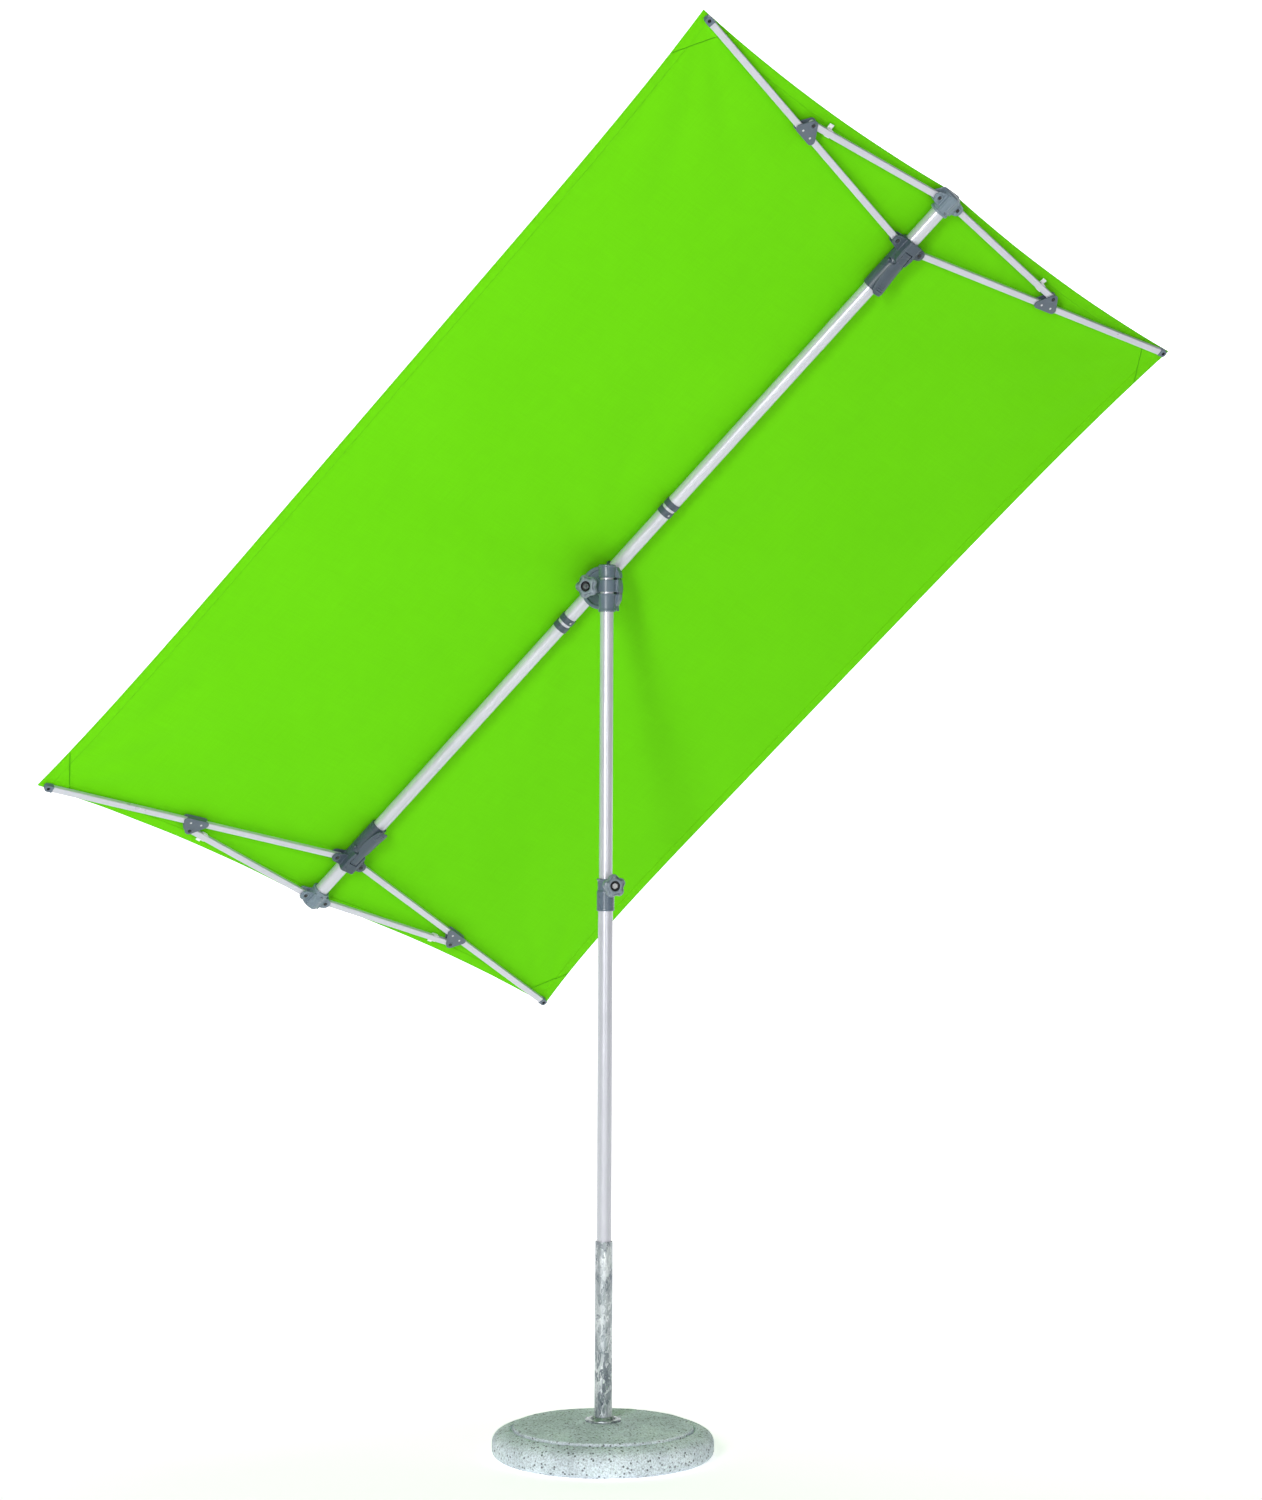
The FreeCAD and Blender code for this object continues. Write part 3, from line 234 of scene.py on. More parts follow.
def galvanised_steel():
    """Hot-dip zinc: spangles of differing grey, with run marks along the tube."""
    shader = Shader("galvanised_steel", 0.38, 0.75, Specular_IOR_Level=0.5)
    where = shader.place((1, 1, 0.42))
    warp = shader.noise(where, 60.0, 3.0)
    spread = shader.mix(0.12, where, warp, "ADD")
    spangle = shader.cells(spread, 90.0, output="Color")
    plates = shader.ramp(
        spangle, [(0.10, (0.20, 0.23, 0.26)), (0.45, (0.46, 0.50, 0.53)), (0.85, (0.86, 0.89, 0.91))]
    )
    stains = shader.noise(shader.place((1, 1, 0.3)), 38.0, 5.0, 0.65)
    veil = shader.ramp(stains, [(0.36, (0.42, 0.46, 0.50)), (0.60, (1.0, 1.0, 1.0))])
    rough = shader.ramp(spangle, [(0.1, 0.26), (0.9, 0.52)])
    return shader.finish(shader.mix(0.8, plates, veil, "MULTIPLY"), stains, 0.25, 0.0004, rough)


def cast_concrete():
    """Pale grey cast concrete: cement skin, sand grain and air holes, with painted shade darkening the holes.
    """
    shader = Shader("cast_concrete", 0.88, 0.0, Specular_IOR_Level=0.25)
    where = shader.place()
    cloud = shader.noise(where, 9.0, 6.0, 0.62)
    sand = shader.noise(where, 260.0, 4.0, 0.7)
    holes = shader.cells(where, 105.0)
    pit = shader.ramp(holes, [(0.17, 0.0), (0.29, 1.0)])
    sparse = shader.ramp(shader.noise(where, 30.0, 3.0), [(0.36, 1.0), (0.44, 0.0)])
    pitted = shader.mix(1.0, pit, sparse, "SCREEN")
    tone = shader.ramp(
        cloud, [(0.30, (0.50, 0.56, 0.61)), (0.55, (0.70, 0.78, 0.84)), (0.78, (0.88, 0.95, 0.98))]
    )
    grain = shader.ramp(sand, [(0.34, 0.42), (0.58, 1.16)])
    # Painted shade: the air holes are darkened to about a sixth of the concrete's colour.
    dark = shader.ramp(pitted, [(0.0, 0.16), (1.0, 1.0)])
    colour = shader.mix(0.9, shader.mix(0.75, tone, grain, "MULTIPLY"), dark, "MULTIPLY")
    height = shader.calc("ADD", shader.calc("MULTIPLY", sand, 0.5), pitted)
    return shader.finish(colour, height, 0.65, 0.0012)


def plated_screw(name, colour, light):
    """Half metallic plating with a faint haze."""
    shader = Shader(name, 0.28, 0.55)
    where = shader.place()
    haze = shader.noise(where, 300.0, 3.0)
    tone = shader.ramp(haze, [(0.3, colour), (0.7, light)])
    return shader.finish(tone, haze, 0.1, 0.0001)


def dark_rubber():
    shader = Shader("dark_rubber", 0.75)
    where = shader.place()
    haze = shader.noise(where, 240.0, 3.0)
    tone = shader.ramp(haze, [(0.3, (0.012, 0.012, 0.013)), (0.7, (0.030, 0.030, 0.032))])
    return shader.finish(tone, haze, 0.3, 0.0002)


def sail_fabric(name, colour, light, weave=1500.0):
    """Woven polyester: warp and weft as crossed waves on the cut's own coordinates."""
    shader = Shader(name, 0.82, 0.0, Sheen_Weight=0.02, Sheen_Roughness=0.5, Specular_IOR_Level=0.05)
    cut = shader.place(kind="UV")
    split = shader.add("ShaderNodeSeparateXYZ", Vector=cut)
    threads = []
    for axis, turn in (("X", 0.0), ("Y", math.pi / 2)):
        along = shader.calc("MULTIPLY", split.outputs[axis], weave)
        threads.append(shader.calc("SINE", shader.calc("ADD", along, turn)))
    weave_height = shader.calc("MULTIPLY", threads[0], threads[1])
    slubs = shader.noise(shader.place((4, 160, 1), "UV"), 3.0, 3.0)
    cross_slubs = shader.noise(shader.place((160, 4, 1), "UV"), 3.0, 3.0)
    cloud = shader.noise(shader.place(kind="UV"), 3.2, 3.0)
    tone = shader.ramp(cloud, [(0.25, colour), (0.75, light)])
    thread = shader.ramp(shader.calc("MULTIPLY", slubs, cross_slubs), [(0.12, 0.955), (0.36, 1.03)])
    height = shader.calc("ADD", weave_height, shader.calc("MULTIPLY", slubs, 1.4))
    return shader.finish(shader.mix(0.7, tone, thread, "MULTIPLY"), height, 0.16, 0.00018)


PLASTIC = moulded_plastic("grey_plastic", (0.054, 0.075, 0.100), (0.066, 0.090, 0.117), 0.30)
PLASTIC_LIGHT = moulded_plastic("light_grey_plastic", (0.106, 0.142, 0.184), (0.124, 0.163, 0.208), 0.28)
PLASTIC_CROWN = moulded_plastic("crown_plastic", (0.152, 0.205, 0.250), (0.178, 0.236, 0.284), 0.26)
PLASTIC_ELBOW = moulded_plastic("elbow_plastic", (0.092, 0.118, 0.150), (0.108, 0.137, 0.172), 0.34)
PLASTIC_KNOB = moulded_plastic("knob_plastic", (0.178, 0.218, 0.258), (0.208, 0.250, 0.294), 0.30)
# Near-black plastic: the friction liner's own colour, and painted shade in the knobs' recesses and in the rib
# caps' holes.
LINER_AND_SHADE_BLACK = moulded_plastic("liner_and_shade_plastic", (0.010, 0.011, 0.013), (0.018, 0.020, 0.023), 0.5)
# Near-black, glossy pins and screws: painted shade of the pin holes, put on the pin heads.
PIN_HOLE_SHADE = moulded_plastic("pin_hole_shade_black", (0.012, 0.013, 0.015), (0.022, 0.024, 0.027), 0.16)
PLASTIC_WHITE = moulded_plastic("white_plastic", (0.78, 0.79, 0.80), (0.86, 0.87, 0.88), 0.4)
ALUMINIUM = coated_aluminium("silver_aluminium", (0.56, 0.565, 0.63), (0.62, 0.625, 0.69))
STEEL = plated_screw("zinc_screw", (0.50, 0.51, 0.52), (0.74, 0.75, 0.77))
# Darker plating for the head knob's nut and the bolt's end: painted shade of the knob's recess.
STEEL_RECESS_SHADE = plated_screw("recess_shade_screw", (0.12, 0.14, 0.15), (0.26, 0.29, 0.31))
ZINC = galvanised_steel()
CONCRETE = cast_concrete()
RUBBER = dark_rubber()
FABRIC = sail_fabric("sail_fabric", (0.131, 0.600, 0.0028), (0.139, 0.622, 0.0034))
FABRIC_HEM = sail_fabric("sail_hem", (0.112, 0.525, 0.0026), (0.120, 0.550, 0.0031))
FABRIC_SEAM = sail_fabric("sail_seam", (0.052, 0.310, 0.002), (0.064, 0.350, 0.003))

SLOT_LOOKS = {
    "concrete": CONCRETE,
    "galvanised_steel": ZINC,
    "painted_aluminium": ALUMINIUM,
    "grey_plastic": PLASTIC,
    "zinc_steel": STEEL,
    "sail_fabric": FABRIC,
    "white_plastic": PLASTIC_WHITE,
    "liner_plastic": LINER_AND_SHADE_BLACK,
    "brake_rubber": RUBBER,
}
NODE_LOOKS = {
    "head_sleeve": PLASTIC_LIGHT,
    "clamp_band": PLASTIC_LIGHT,
    "head_knob": PLASTIC_KNOB,
    "height_knob": PLASTIC_KNOB,
    "height_collar": PLASTIC_LIGHT,
    "tilt_saddle": PLASTIC,
    "crown_upper": PLASTIC_CROWN,
    "crown_lower": PLASTIC_CROWN,
    # The nut and the bolt's end take the darker plating: painted shade of the knob's recess.
    "head_knob_nut": STEEL_RECESS_SHADE,
    "tilt_bolt": STEEL_RECESS_SHADE,
    # Pins and screws are near-black: painted shade of their holes.
    "crown_pins": PIN_HOLE_SHADE,
    "crown_screws": PIN_HOLE_SHADE,
    "slider_pins_upper": PIN_HOLE_SHADE,
    "slider_pins_lower": PIN_HOLE_SHADE,
}

slots = {part["node"]: part["material_slot"] for part in frame["record"]["subparts"]}
for name, thing in nodes.items():
    look = NODE_LOOKS.get(name, SLOT_LOOKS[slots[name]])
    # Elbow pins are near-black as well: painted shade of their holes.
    if name.startswith("elbow_pin"):
        look = PIN_HOLE_SHADE
    thing.data.materials.clear()
    thing.data.materials.append(look)


# ---------------------------------------------------------------- sail

def steps(low, high, count):
    return [low + (high - low) * i / count for i in range(count + 1)]


def edge_steps(half, count):
    """Places from -half to half, close together at the hems and even between them."""
    near = [0.0, 0.0015, 0.0030, 0.009, 0.015, 0.0205, 0.0220, 0.024, 0.0255, 0.029, 0.036, 0.046]
    inner = steps(-(half - 0.056), half - 0.056, count)
    return [-half + x for x in near] + inner + [half - x for x in reversed(near)]


def smooth(x, low, high):
    """0 below low, 1 above high, and an easy curve between."""
    share = min(1.0, max(0.0, (x - low) / (high - low)))
    return share * share * (3 - 2 * share)


def short_hollow(share):
    return SHORT_MIDDLE + SHORT_RISE * share + SHORT_FALL * share * share


def sail_point(along, across):
    """Turns a point of the cut, from its middle, into a place on the sail in the crossbar's frame."""
    s, t = along / HALF_LENGTH, across / HALF_WIDTH
    x = along - math.copysign(short_hollow(abs(t)) * abs(s) ** 6, s)
    middle, lean = LONG_SAG[1 if t > 0 else -1]
    hollow = (middle + lean * s) * (1 - abs(s) ** 5)
    y = across - math.copysign(hollow * abs(t) ** 3, t)
    rounded = math.sqrt(t * t + RIDGE_ROUNDING ** 2) - RIDGE_ROUNDING * (1 - abs(t))
    height = RIDGE_HEIGHT - (RIDGE_HEIGHT - CORNER_HEIGHT) * max(0.0, min(1.0, rounded))
    return Vector((x, y, height + wrinkle(along, across)))


def wrinkle(along, across):
    """Soft folds of the stretched cloth: along the crossbar, from each corner, and about the head."""
    s, t = along / HALF_LENGTH, across / HALF_WIDTH
    free = smooth(abs(across), 0.03, 0.16)
    flow = noise.noise(Vector((along * 1.1, across * 7.5, 3.1)))
    fine = noise.noise(Vector((along * 2.6, across * 19.0, 8.7)))
    long_folds = LONG_FOLD * flow + FINE_FOLD * fine
    radial = 0.0
    for end in (-1, 1):
        for side in (-1, 1):
            dx = end * HALF_LENGTH - along
            dy = side * HALF_WIDTH - across
            reach = math.hypot(dx, dy)
            turn = math.atan2(abs(dy), abs(dx))
            fade = smooth(reach, 0.03, 0.15) * (1 - smooth(reach, 0.25, 0.75))
            radial += CORNER_FOLD * fade * math.sin(turn * CORNER_RAYS + 1.3 * end + 2.1 * side)
    from_head = math.hypot(along + BAR_SHIFT, across)
    fan = HEAD_FOLD * math.sin(math.atan2(across, along + BAR_SHIFT) * HEAD_RAYS + 0.7)
    fan *= smooth(from_head, 0.05, 0.18) * (1 - smooth(from_head, 0.35, 0.75))
    wave = long_folds * (1 - 0.5 * abs(t)) + radial + fan + LONG_SLACK * (1 - s * s)
    outward = (wave + math.hypot(wave, FOLD_SOFTNESS)) / 2
    return free * outward


def inset(along, across):
    """Distance of a point of the cut from its nearest edge."""
    return min(HALF_LENGTH - abs(along), HALF_WIDTH - abs(across))


def hem_depth(along, across):
    """How far the doubled hem stands down from the cloth."""
    return HEM_DEPTH * (1 - smooth(inset(along, across), HEM_WIDTH - 0.0014, HEM_WIDTH + 0.0002))


def is_seam(along, across):
    """True where a stitched line of the hem runs, at its edge and at its fold."""
    return any(low < inset(along, across) < high for low, high in HEM_SEAMS)


def make_object(name, mesh_maker, looks):
    """A mesh object from a function that fills a bmesh."""
    mesh = bpy.data.meshes.new(name)
    shape = bmesh.new()
    mesh_maker(shape)
    shape.normal_update()
    shape.to_mesh(mesh)
    shape.free()
    for polygon in mesh.polygons:
        polygon.use_smooth = True
    thing = bpy.data.objects.new(name, mesh)
    bpy.context.collection.objects.link(thing)
    for look in looks:
        mesh.materials.append(look)
    return thing


def apply_modifiers(thing):
    depsgraph = bpy.context.evaluated_depsgraph_get()
    final = bpy.data.meshes.new_from_object(thing.evaluated_get(depsgraph))
    thing.modifiers.clear()
    thing.data = final
    return thing


def fill_sail(shape):
    """Two skins, sunny and shaded, joined round the edge, with the cut's coordinates as UVs."""
    rows = edge_steps(HALF_LENGTH, 150)
    columns = edge_steps(HALF_WIDTH, 120)
    layer = shape.loops.layers.uv.new("cut")
    skins, places = [], {}
    for skin in (0, 1):
        grid = []
        for along in rows:
            line = []
            for across in columns:
                point = sail_point(along, across)
                drop = SAIL_THICKNESS / 2 + hem_depth(along, across)
                point.z += SAIL_THICKNESS / 2 if skin == 0 else -drop
                corner = shape.verts.new(bar_frame @ point)
                places[corner] = (along, across)
                line.append(corner)
            grid.append(line)
        skins.append(grid)
    top, under = skins
    last_row, last_column = len(rows) - 1, len(columns) - 1

    def face(corners):
        made = shape.faces.new(corners)
        for loop in made.loops:
            loop[layer].uv = places[loop.vert]
        middle = [sum(places[corner][k] for corner in corners) / len(corners) for k in (0, 1)]
        made.material_index = 1 if is_seam(*middle) else 0

    for i in range(last_row):
        for j in range(last_column):
            face((top[i][j], top[i + 1][j], top[i + 1][j + 1], top[i][j + 1]))
            face((under[i][j], under[i][j + 1], under[i + 1][j + 1], under[i + 1][j]))
    for i in range(last_row):
        face((top[i][0], under[i][0], under[i + 1][0], top[i + 1][0]))
        face((top[i][last_column], top[i + 1][last_column], under[i + 1][last_column], under[i][last_column]))
    for j in range(last_column):
        face((top[0][j], top[0][j + 1], under[0][j + 1], under[0][j]))
        face((top[last_row][j], under[last_row][j], under[last_row][j + 1], top[last_row][j + 1]))


PATCH_ALONG, PATCH_ACROSS = 0.100, 0.078      # legs of a corner patch, on the long and the short edge
PATCH_INSET = 0.002                           # of the patch from the sail's edges


def under_sail(along, across, drop):
    """A point this far below the sail's shaded face, in the world's frame."""
    point = sail_point(along, across)
    point.z -= SAIL_THICKNESS / 2 + hem_depth(along, across) + drop
    return bar_frame @ point


def skin_strip(shape, grid_point, rows, columns, low, high, uv_point):
    """A thin closed sheet that follows the sail from depth low to depth high."""
    layer = shape.loops.layers.uv.new("cut")
    layers, places = [], {}
    for drop in (low, high):
        grid = []
        for i in range(rows + 1):
            line = []
            for j in range(columns + 1):
                along, across = grid_point(i / rows, j / columns)
                corner = shape.verts.new(under_sail(along, across, drop))
                places[corner] = (along, across)
                line.append(corner)
            grid.append(line)
        layers.append(grid)
    faces = []
    for grid in layers:
        for i in range(rows):
            for j in range(columns):
                faces.append((grid[i][j], grid[i + 1][j], grid[i + 1][j + 1], grid[i][j + 1]))
    top, under = layers
    for i in range(rows):
        for j in (0, columns):
            faces.append((top[i][j], under[i][j], under[i + 1][j], top[i + 1][j]))
    for j in range(columns):
        for i in (0, rows):
            faces.append((top[i][j], under[i][j], under[i][j + 1], top[i][j + 1]))
    made = [shape.faces.new(corners) for corners in faces]
    for face in made:
        for loop in face.loops:
            loop[layer].uv = uv_point(*places[loop.vert])
    bmesh.ops.recalc_face_normals(shape, faces=made)


def patch_point(end, side, reach, v):
    """Point of the cut on a slanting line across a corner; reach 1 is the patch's far edge."""
    along = HALF_LENGTH - PATCH_ALONG * reach * v - PATCH_INSET
    across = HALF_WIDTH - PATCH_ACROSS * reach * (1 - v) - PATCH_INSET
    return end * along, side * across


def corner_patch(shape, end, side):
    """Second layer of cloth across a corner, with its weave turned."""
    tip = 0.002
    skin_strip(
        shape, lambda u, v: patch_point(end, side, tip + (1 - tip) * u, v),
        24, 24, -0.0002, 0.0006, lambda along, across: (across, along),
    )


def patch_seam(shape, end, side):
    """Stitched line along a patch's far edge."""
    skin_strip(
        shape, lambda u, v: patch_point(end, side, 0.965 + 0.022 * u, v),
        1, 40, 0.0005, 0.0010, lambda along, across: (along, across),
    )


def add_cloth(name, maker, look):
    cloth = make_object(name, maker, [look])
    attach(cloth, "crossbar")
    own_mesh(cloth)


for end, end_sign in (("upper", 1), ("lower", -1)):
    for side, side_sign in SIDES.items():
        tag = f"{end}_{side}"
        add_cloth(f"corner_patch_{tag}", lambda shape: corner_patch(shape, end_sign, side_sign), FABRIC)
        add_cloth(f"patch_seam_{tag}", lambda shape: patch_seam(shape, end_sign, side_sign), FABRIC_SEAM)

sail = make_object("sail", fill_sail, [FABRIC, FABRIC_HEM])
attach(sail, "crossbar")
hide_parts("canopy_fabric")
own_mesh(sail)


# ---------------------------------------------------------------- moulded fittings

ALONG_Y = Matrix.Rotation(math.pi / 2, 4, "Z")        # turns a local X axis to +Y
ALONG_Z = Matrix.Rotation(-math.pi / 2, 4, "Y")       # turns a local X axis to +Z
UPRIGHT = Matrix.Rotation(math.pi / 2, 4, "X")        # a slab drawn in X, Z; its depth runs to -Y


def joined(shape, rows, ring=False):
    """Faces between each row of points and the next; a row of one point is a tip."""
    faces = []
    for first, second in zip(rows, rows[1:] + rows[:1] if ring else rows[1:]):
        count = max(len(first), len(second))
        for i in range(count):
            around = [(first, i), (first, i + 1), (second, i + 1), (second, i)]
            corners = list(dict.fromkeys(row[k % len(row)] for row, k in around))
            if len(corners) > 2:
                faces.append(shape.faces.new(corners))
    return faces


def turned(shape, profile, frame=Matrix(), ring=False, segments=72):
    """A closed shell of revolution round the frame's X axis; profile points are (along, radius)."""
    rows = []
    for along, radius in profile:
        if radius == 0:
            rows.append([shape.verts.new(frame @ Vector((along, 0, 0)))])
            continue
        row = []
        for i in range(segments):
            turn = 2 * math.pi * i / segments
            place = Vector((along, radius * math.cos(turn), radius * math.sin(turn)))
            row.append(shape.verts.new(frame @ place))
        rows.append(row)
    bmesh.ops.recalc_face_normals(shape, faces=joined(shape, rows, ring))


def slab(shape, outline, low, high, frame=Matrix()):
    """A closed prism on an outline of (x, y), from low to high along the frame's Z."""
    rows = [[shape.verts.new(frame @ Vector((x, y, z))) for x, y in outline] for z in (low, high)]
    faces = [shape.faces.new(row) for row in rows]
    bmesh.ops.recalc_face_normals(shape, faces=faces + joined(shape, rows))


def tight_outline(circles, count=40):
    """The convex outline round some circles, each (x, y, radius)."""
    cloud = set()
    for x, y, radius in circles:
        for i in range(count):
            turn = 2 * math.pi * i / count
            cloud.add((round(x + radius * math.cos(turn), 4), round(y + radius * math.sin(turn), 4)))
    points = sorted(cloud)

    def half(ordered):
        chain = []
        for point in ordered:
            while len(chain) > 1 and cross(chain[-2], chain[-1], point) <= 0:
                chain.pop()
            chain.append(point)
        return chain[:-1]

    def cross(a, b, c):
        return (b[0] - a[0]) * (c[1] - a[1]) - (b[1] - a[1]) * (c[0] - a[0])

    return half(points) + half(reversed(points))


class Moulding:
    """Closed shells, in millimetres, melted into one soft-edged moulded piece."""

    def __init__(self, frame):
        self.frame = frame @ MM
        self.solid = bmesh.new()
        self.cuts = bmesh.new()

    def copy(self, name):
        """Start from the CAD shape of a node."""
        thing = nodes[name]
        mesh = thing.data.copy()
        mesh.transform(self.frame.inverted() @ thing.matrix_world)
        self.solid.from_mesh(mesh)
        bmesh.ops.remove_doubles(self.solid, verts=self.solid.verts, dist=0.002)
        bpy.data.meshes.remove(mesh)

    def made(self, name, shape):
        mesh = bpy.data.meshes.new(name)
        shape.to_mesh(mesh)
        shape.free()
        thing = bpy.data.objects.new(name, mesh)
        bpy.context.collection.objects.link(thing)
        return thing

    def melt(self, name, voxel, soft=3, keep=0.2):
        """Join, cut, round the edges and thin out; gives the mesh in millimetres."""
        has_cuts = len(self.cuts.verts) > 0
        body = self.made(name, self.solid)
        cutter = self.made(f"{name}_cuts", self.cuts)
        remesh(body, voxel)
        if has_cuts:
            carve = body.modifiers.new("carve", "BOOLEAN")
            carve.operation = "DIFFERENCE"
            carve.solver = "MANIFOLD"
            carve.object = cutter
            remesh(body, voxel)
        smoother = body.modifiers.new("soften", "SMOOTH")
        smoother.factor = 0.5
        smoother.iterations = soft
        thinner = body.modifiers.new("thin", "DECIMATE")
        thinner.ratio = keep
        mesh = apply_modifiers(body).data
        mesh.materials.clear()
        for thing in (body, cutter):
            bpy.data.objects.remove(thing)
        return mesh


def remesh(thing, voxel):
    modifier = thing.modifiers.new("melt", "REMESH")
    modifier.mode = "VOXEL"
    modifier.voxel_size = voxel


def fit(mesh, name, frame, body, looks, replaces, mirrored=False, paint=None):
    """Put a copy of a mesh drawn in millimetres onto a body; paint picks the faces of the second look."""
    matrix = frame @ MM
    if mirrored:
        matrix = matrix @ Matrix.Scale(-1, 4, (0, 1, 0))
    final = mesh.copy()
    final.name = name
    for look in looks:
        final.materials.append(look)
    for polygon in final.polygons:
        polygon.use_smooth = True
        if paint is not None and paint(polygon.center):
            polygon.material_index = 1
    final.transform(matrix)
    if mirrored:
        final.flip_normals()
    thing = bpy.data.objects.new(name, final)
    bpy.context.collection.objects.link(thing)
    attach(thing, body)
    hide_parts(replaces)


def box_outline(x0, y0, x1, y1):
    return [(x0, y0), (x1, y0), (x1, y1), (x0, y1)]


# ---- head

def make_sleeve():
    piece = Moulding(head_frame)
    piece.copy("head_sleeve")
    disc = shifted(x=-27.0) @ ALONG_Y
    rim = [(24.6, 37.6), (22.4, 38.2), (21.7, 40.0), (21.7, 43.4), (22.6, 45.2), (25.0, 45.4), (25.0, 37.6)]
    turned(piece.solid, rim, disc, ring=True)
    upper_web = [(-14, 19.4), (24.6, 19.4), (23.4, 30), (16.4, 42.5), (-14, 42.5)]
    lower_web = [(-14, -15.0), (24.6, -15.0), (22.8, -27), (16.6, -39), (16.6, -49.5), (-14, -49.5)]
    for outline in (upper_web, lower_web):
        slab(piece.solid, outline, -24.4, -8.5, UPRIGHT)
    lips = (
        [(41.5, 15.0), (41.5, 17.2), (42.6, 18.1), (45.4, 18.1), (46.6, 16.8), (46.6, 15.0)],
        [(-51.8, 14.9), (-51.8, 17.9), (-47.6, 18.0), (-46.0, 17.1), (-46.0, 14.9)],
        [(18.8, 14.9), (18.8, 17.9), (21.0, 17.9), (22.0, 17.1), (22.0, 14.9)],
        [(-14.3, 14.9), (-14.3, 17.9), (-16.5, 17.9), (-17.5, 17.1), (-17.5, 14.9)],
    )
    for lip in lips:
        turned(piece.solid, lip, ALONG_Z, ring=True)
    recess = [(24.1, 14.0), (26.9, 15.0), (26.9, 36.4), (24.1, 37.2)]
    turned(piece.cuts, recess, disc, ring=True)
    for low, high in ((16.8, 18.9), (-13.7, -11.7)):
        slab(piece.cuts, box_outline(-22, -20, 19.5, 8.2), low, high)
    return piece.melt("sleeve", 0.55, 3, 0.22)


def make_band():
    piece = Moulding(head_frame)
    piece.copy("clamp_band")
    web = [(9, -11.3), (24.6, -11.3), (25.4, 2.2), (24.6, 15.8), (9, 15.8)]
    slab(piece.solid, web, -23.5, -2.0, UPRIGHT)
    swell = [(-11.2, 14.6), (-11.2, 18.9), (-9.6, 19.3), (13.8, 19.3), (15.6, 18.9), (15.6, 14.6)]
    turned(piece.solid, swell, ALONG_Z, ring=True)
    slab(piece.cuts, box_outline(-46, -2.6, -13.4, 0.8), -14, 18)
    for low, high in ((15.0, 18.0), (-14.0, -10.6)):
        slab(piece.cuts, box_outline(-48, -24, 30, 24), low, high)
    return piece.melt("band", 0.5, 3, 0.22)


def make_saddle():
    piece = Moulding(tilt_frame)
    piece.copy("tilt_saddle")
    axis = shifted(0, 62.5, 22.0)
    for sign in (-1, 1):
        collar = [(43, 17.2), (43, 19.0), (42, 19.8), (38.4, 19.8), (37.4, 18.4), (37.4, 17.2)]
        turned(piece.solid, [(sign * along, radius) for along, radius in collar], axis, ring=True)
    brim = [(40.0, 38.5), (40.9, 40.0), (40.9, 44.0), (40.0, 45.3), (36.0, 45.4), (36.0, 38.5)]
    turned(piece.solid, brim, ALONG_Y, ring=True)
    for x in (-22.0, 22.0):
        slab(piece.solid, box_outline(x - 1.6, 39.0, x + 1.6, 58.0), 2.0, 22.0)
    turned(piece.cuts, [(-46, 0), (-46, 16.8), (46, 16.8), (46, 0)], axis)
    return piece.melt("saddle", 0.65, 3, 0.2)


# ---- star knobs

LOBES = 5
KNOB_RADIUS, SCALLOP_DEPTH = 25.0, 4.6
KNOB_CORE, KNOB_BORE = 11.6, 3.2
BACK_RADIUS, RECESS_RADIUS, RECESS_FLOOR = 10.4, 9.6, 6.4   # hub's back, and the floor of the recess


def knob_mesh(name, hub):
    """A five-lobed knob as one closed skin; X points out of its face, from the hub's back."""
    steps_round = 140
    # Along the axis, share of the lobed outline, and offset from it, or radius where the share is 0.
    rings = [
        (0.0, 0, BACK_RADIUS), (0.8, 0, 11.0), (hub - 0.4, 0, 11.4), (hub, 1, -3.4), (hub + 1.2, 1, -1.2),
        (hub + 3.0, 1, -0.1), (hub + 6.5, 1, 0.0), (hub + 9.4, 1, -0.2), (hub + 11.4, 1, -1.1),
        (hub + 12.6, 1, -2.6), (hub + 13.1, 1, -4.4), (hub + 13.2, 0.6, 1.4), (hub + 13.5, 0, 13.6),
        (hub + 13.6, 0, 12.6), (hub + 13.2, 0, 11.6), (hub + 12.4, 0, 10.9), (hub + 11.0, 0, 10.6),
        (hub + 6.6, 0, 10.5), (hub + RECESS_FLOOR, 0, RECESS_RADIUS),
    ]
    shape = bmesh.new()
    rows = []
    for along, share, offset in rings:
        row = []
        for i in range(steps_round):
            turn = 2 * math.pi * i / steps_round
            scallop = (0.5 + 0.5 * math.cos(LOBES * turn)) ** 1.5
            outline = KNOB_RADIUS - SCALLOP_DEPTH * scallop
            radius = share * (outline + offset) + (1 - share) * (offset if share == 0 else KNOB_CORE)
            row.append(shape.verts.new((along, radius * math.cos(turn), radius * math.sin(turn))))
        rows.append(row)
    bore = []
    for along, radius, row in ((hub + RECESS_FLOOR, RECESS_RADIUS, rows[-1]), (0.0, BACK_RADIUS, rows[0])):
        bore.append([
            shape.verts.new((along, KNOB_BORE * v.co.y / radius, KNOB_BORE * v.co.z / radius)) for v in row
        ])
    bmesh.ops.recalc_face_normals(shape, faces=joined(shape, rows + bore, ring=True))
    mesh = bpy.data.meshes.new(name)
    shape.to_mesh(mesh)
    shape.free()
    return mesh


def shaded_recess(hub):
    """True for the faces of a knob's deep round recess, which are painted near-black as the recess's shade.
    """
    return lambda place: math.hypot(place.y, place.z) < 10.8 and place.x > hub + 6.0


HEAD_HUB, HEIGHT_HUB = 16.0, 8.0
BOSS_TURN = Matrix.Rotation(math.radians(-67.0), 4, "Z")
head_knob_frame = head_frame @ shifted(-BOLT_BESIDE_POLE, -0.018, 0) @ Matrix.Rotation(-math.pi / 2, 4, "Z")
height_knob_frame = (
    shifted(z=1.195) @ BOSS_TURN @ shifted(x=0.0314) @ Matrix.Rotation(math.radians(62), 4, "X")
)
collar_frame = shifted(z=1.141)


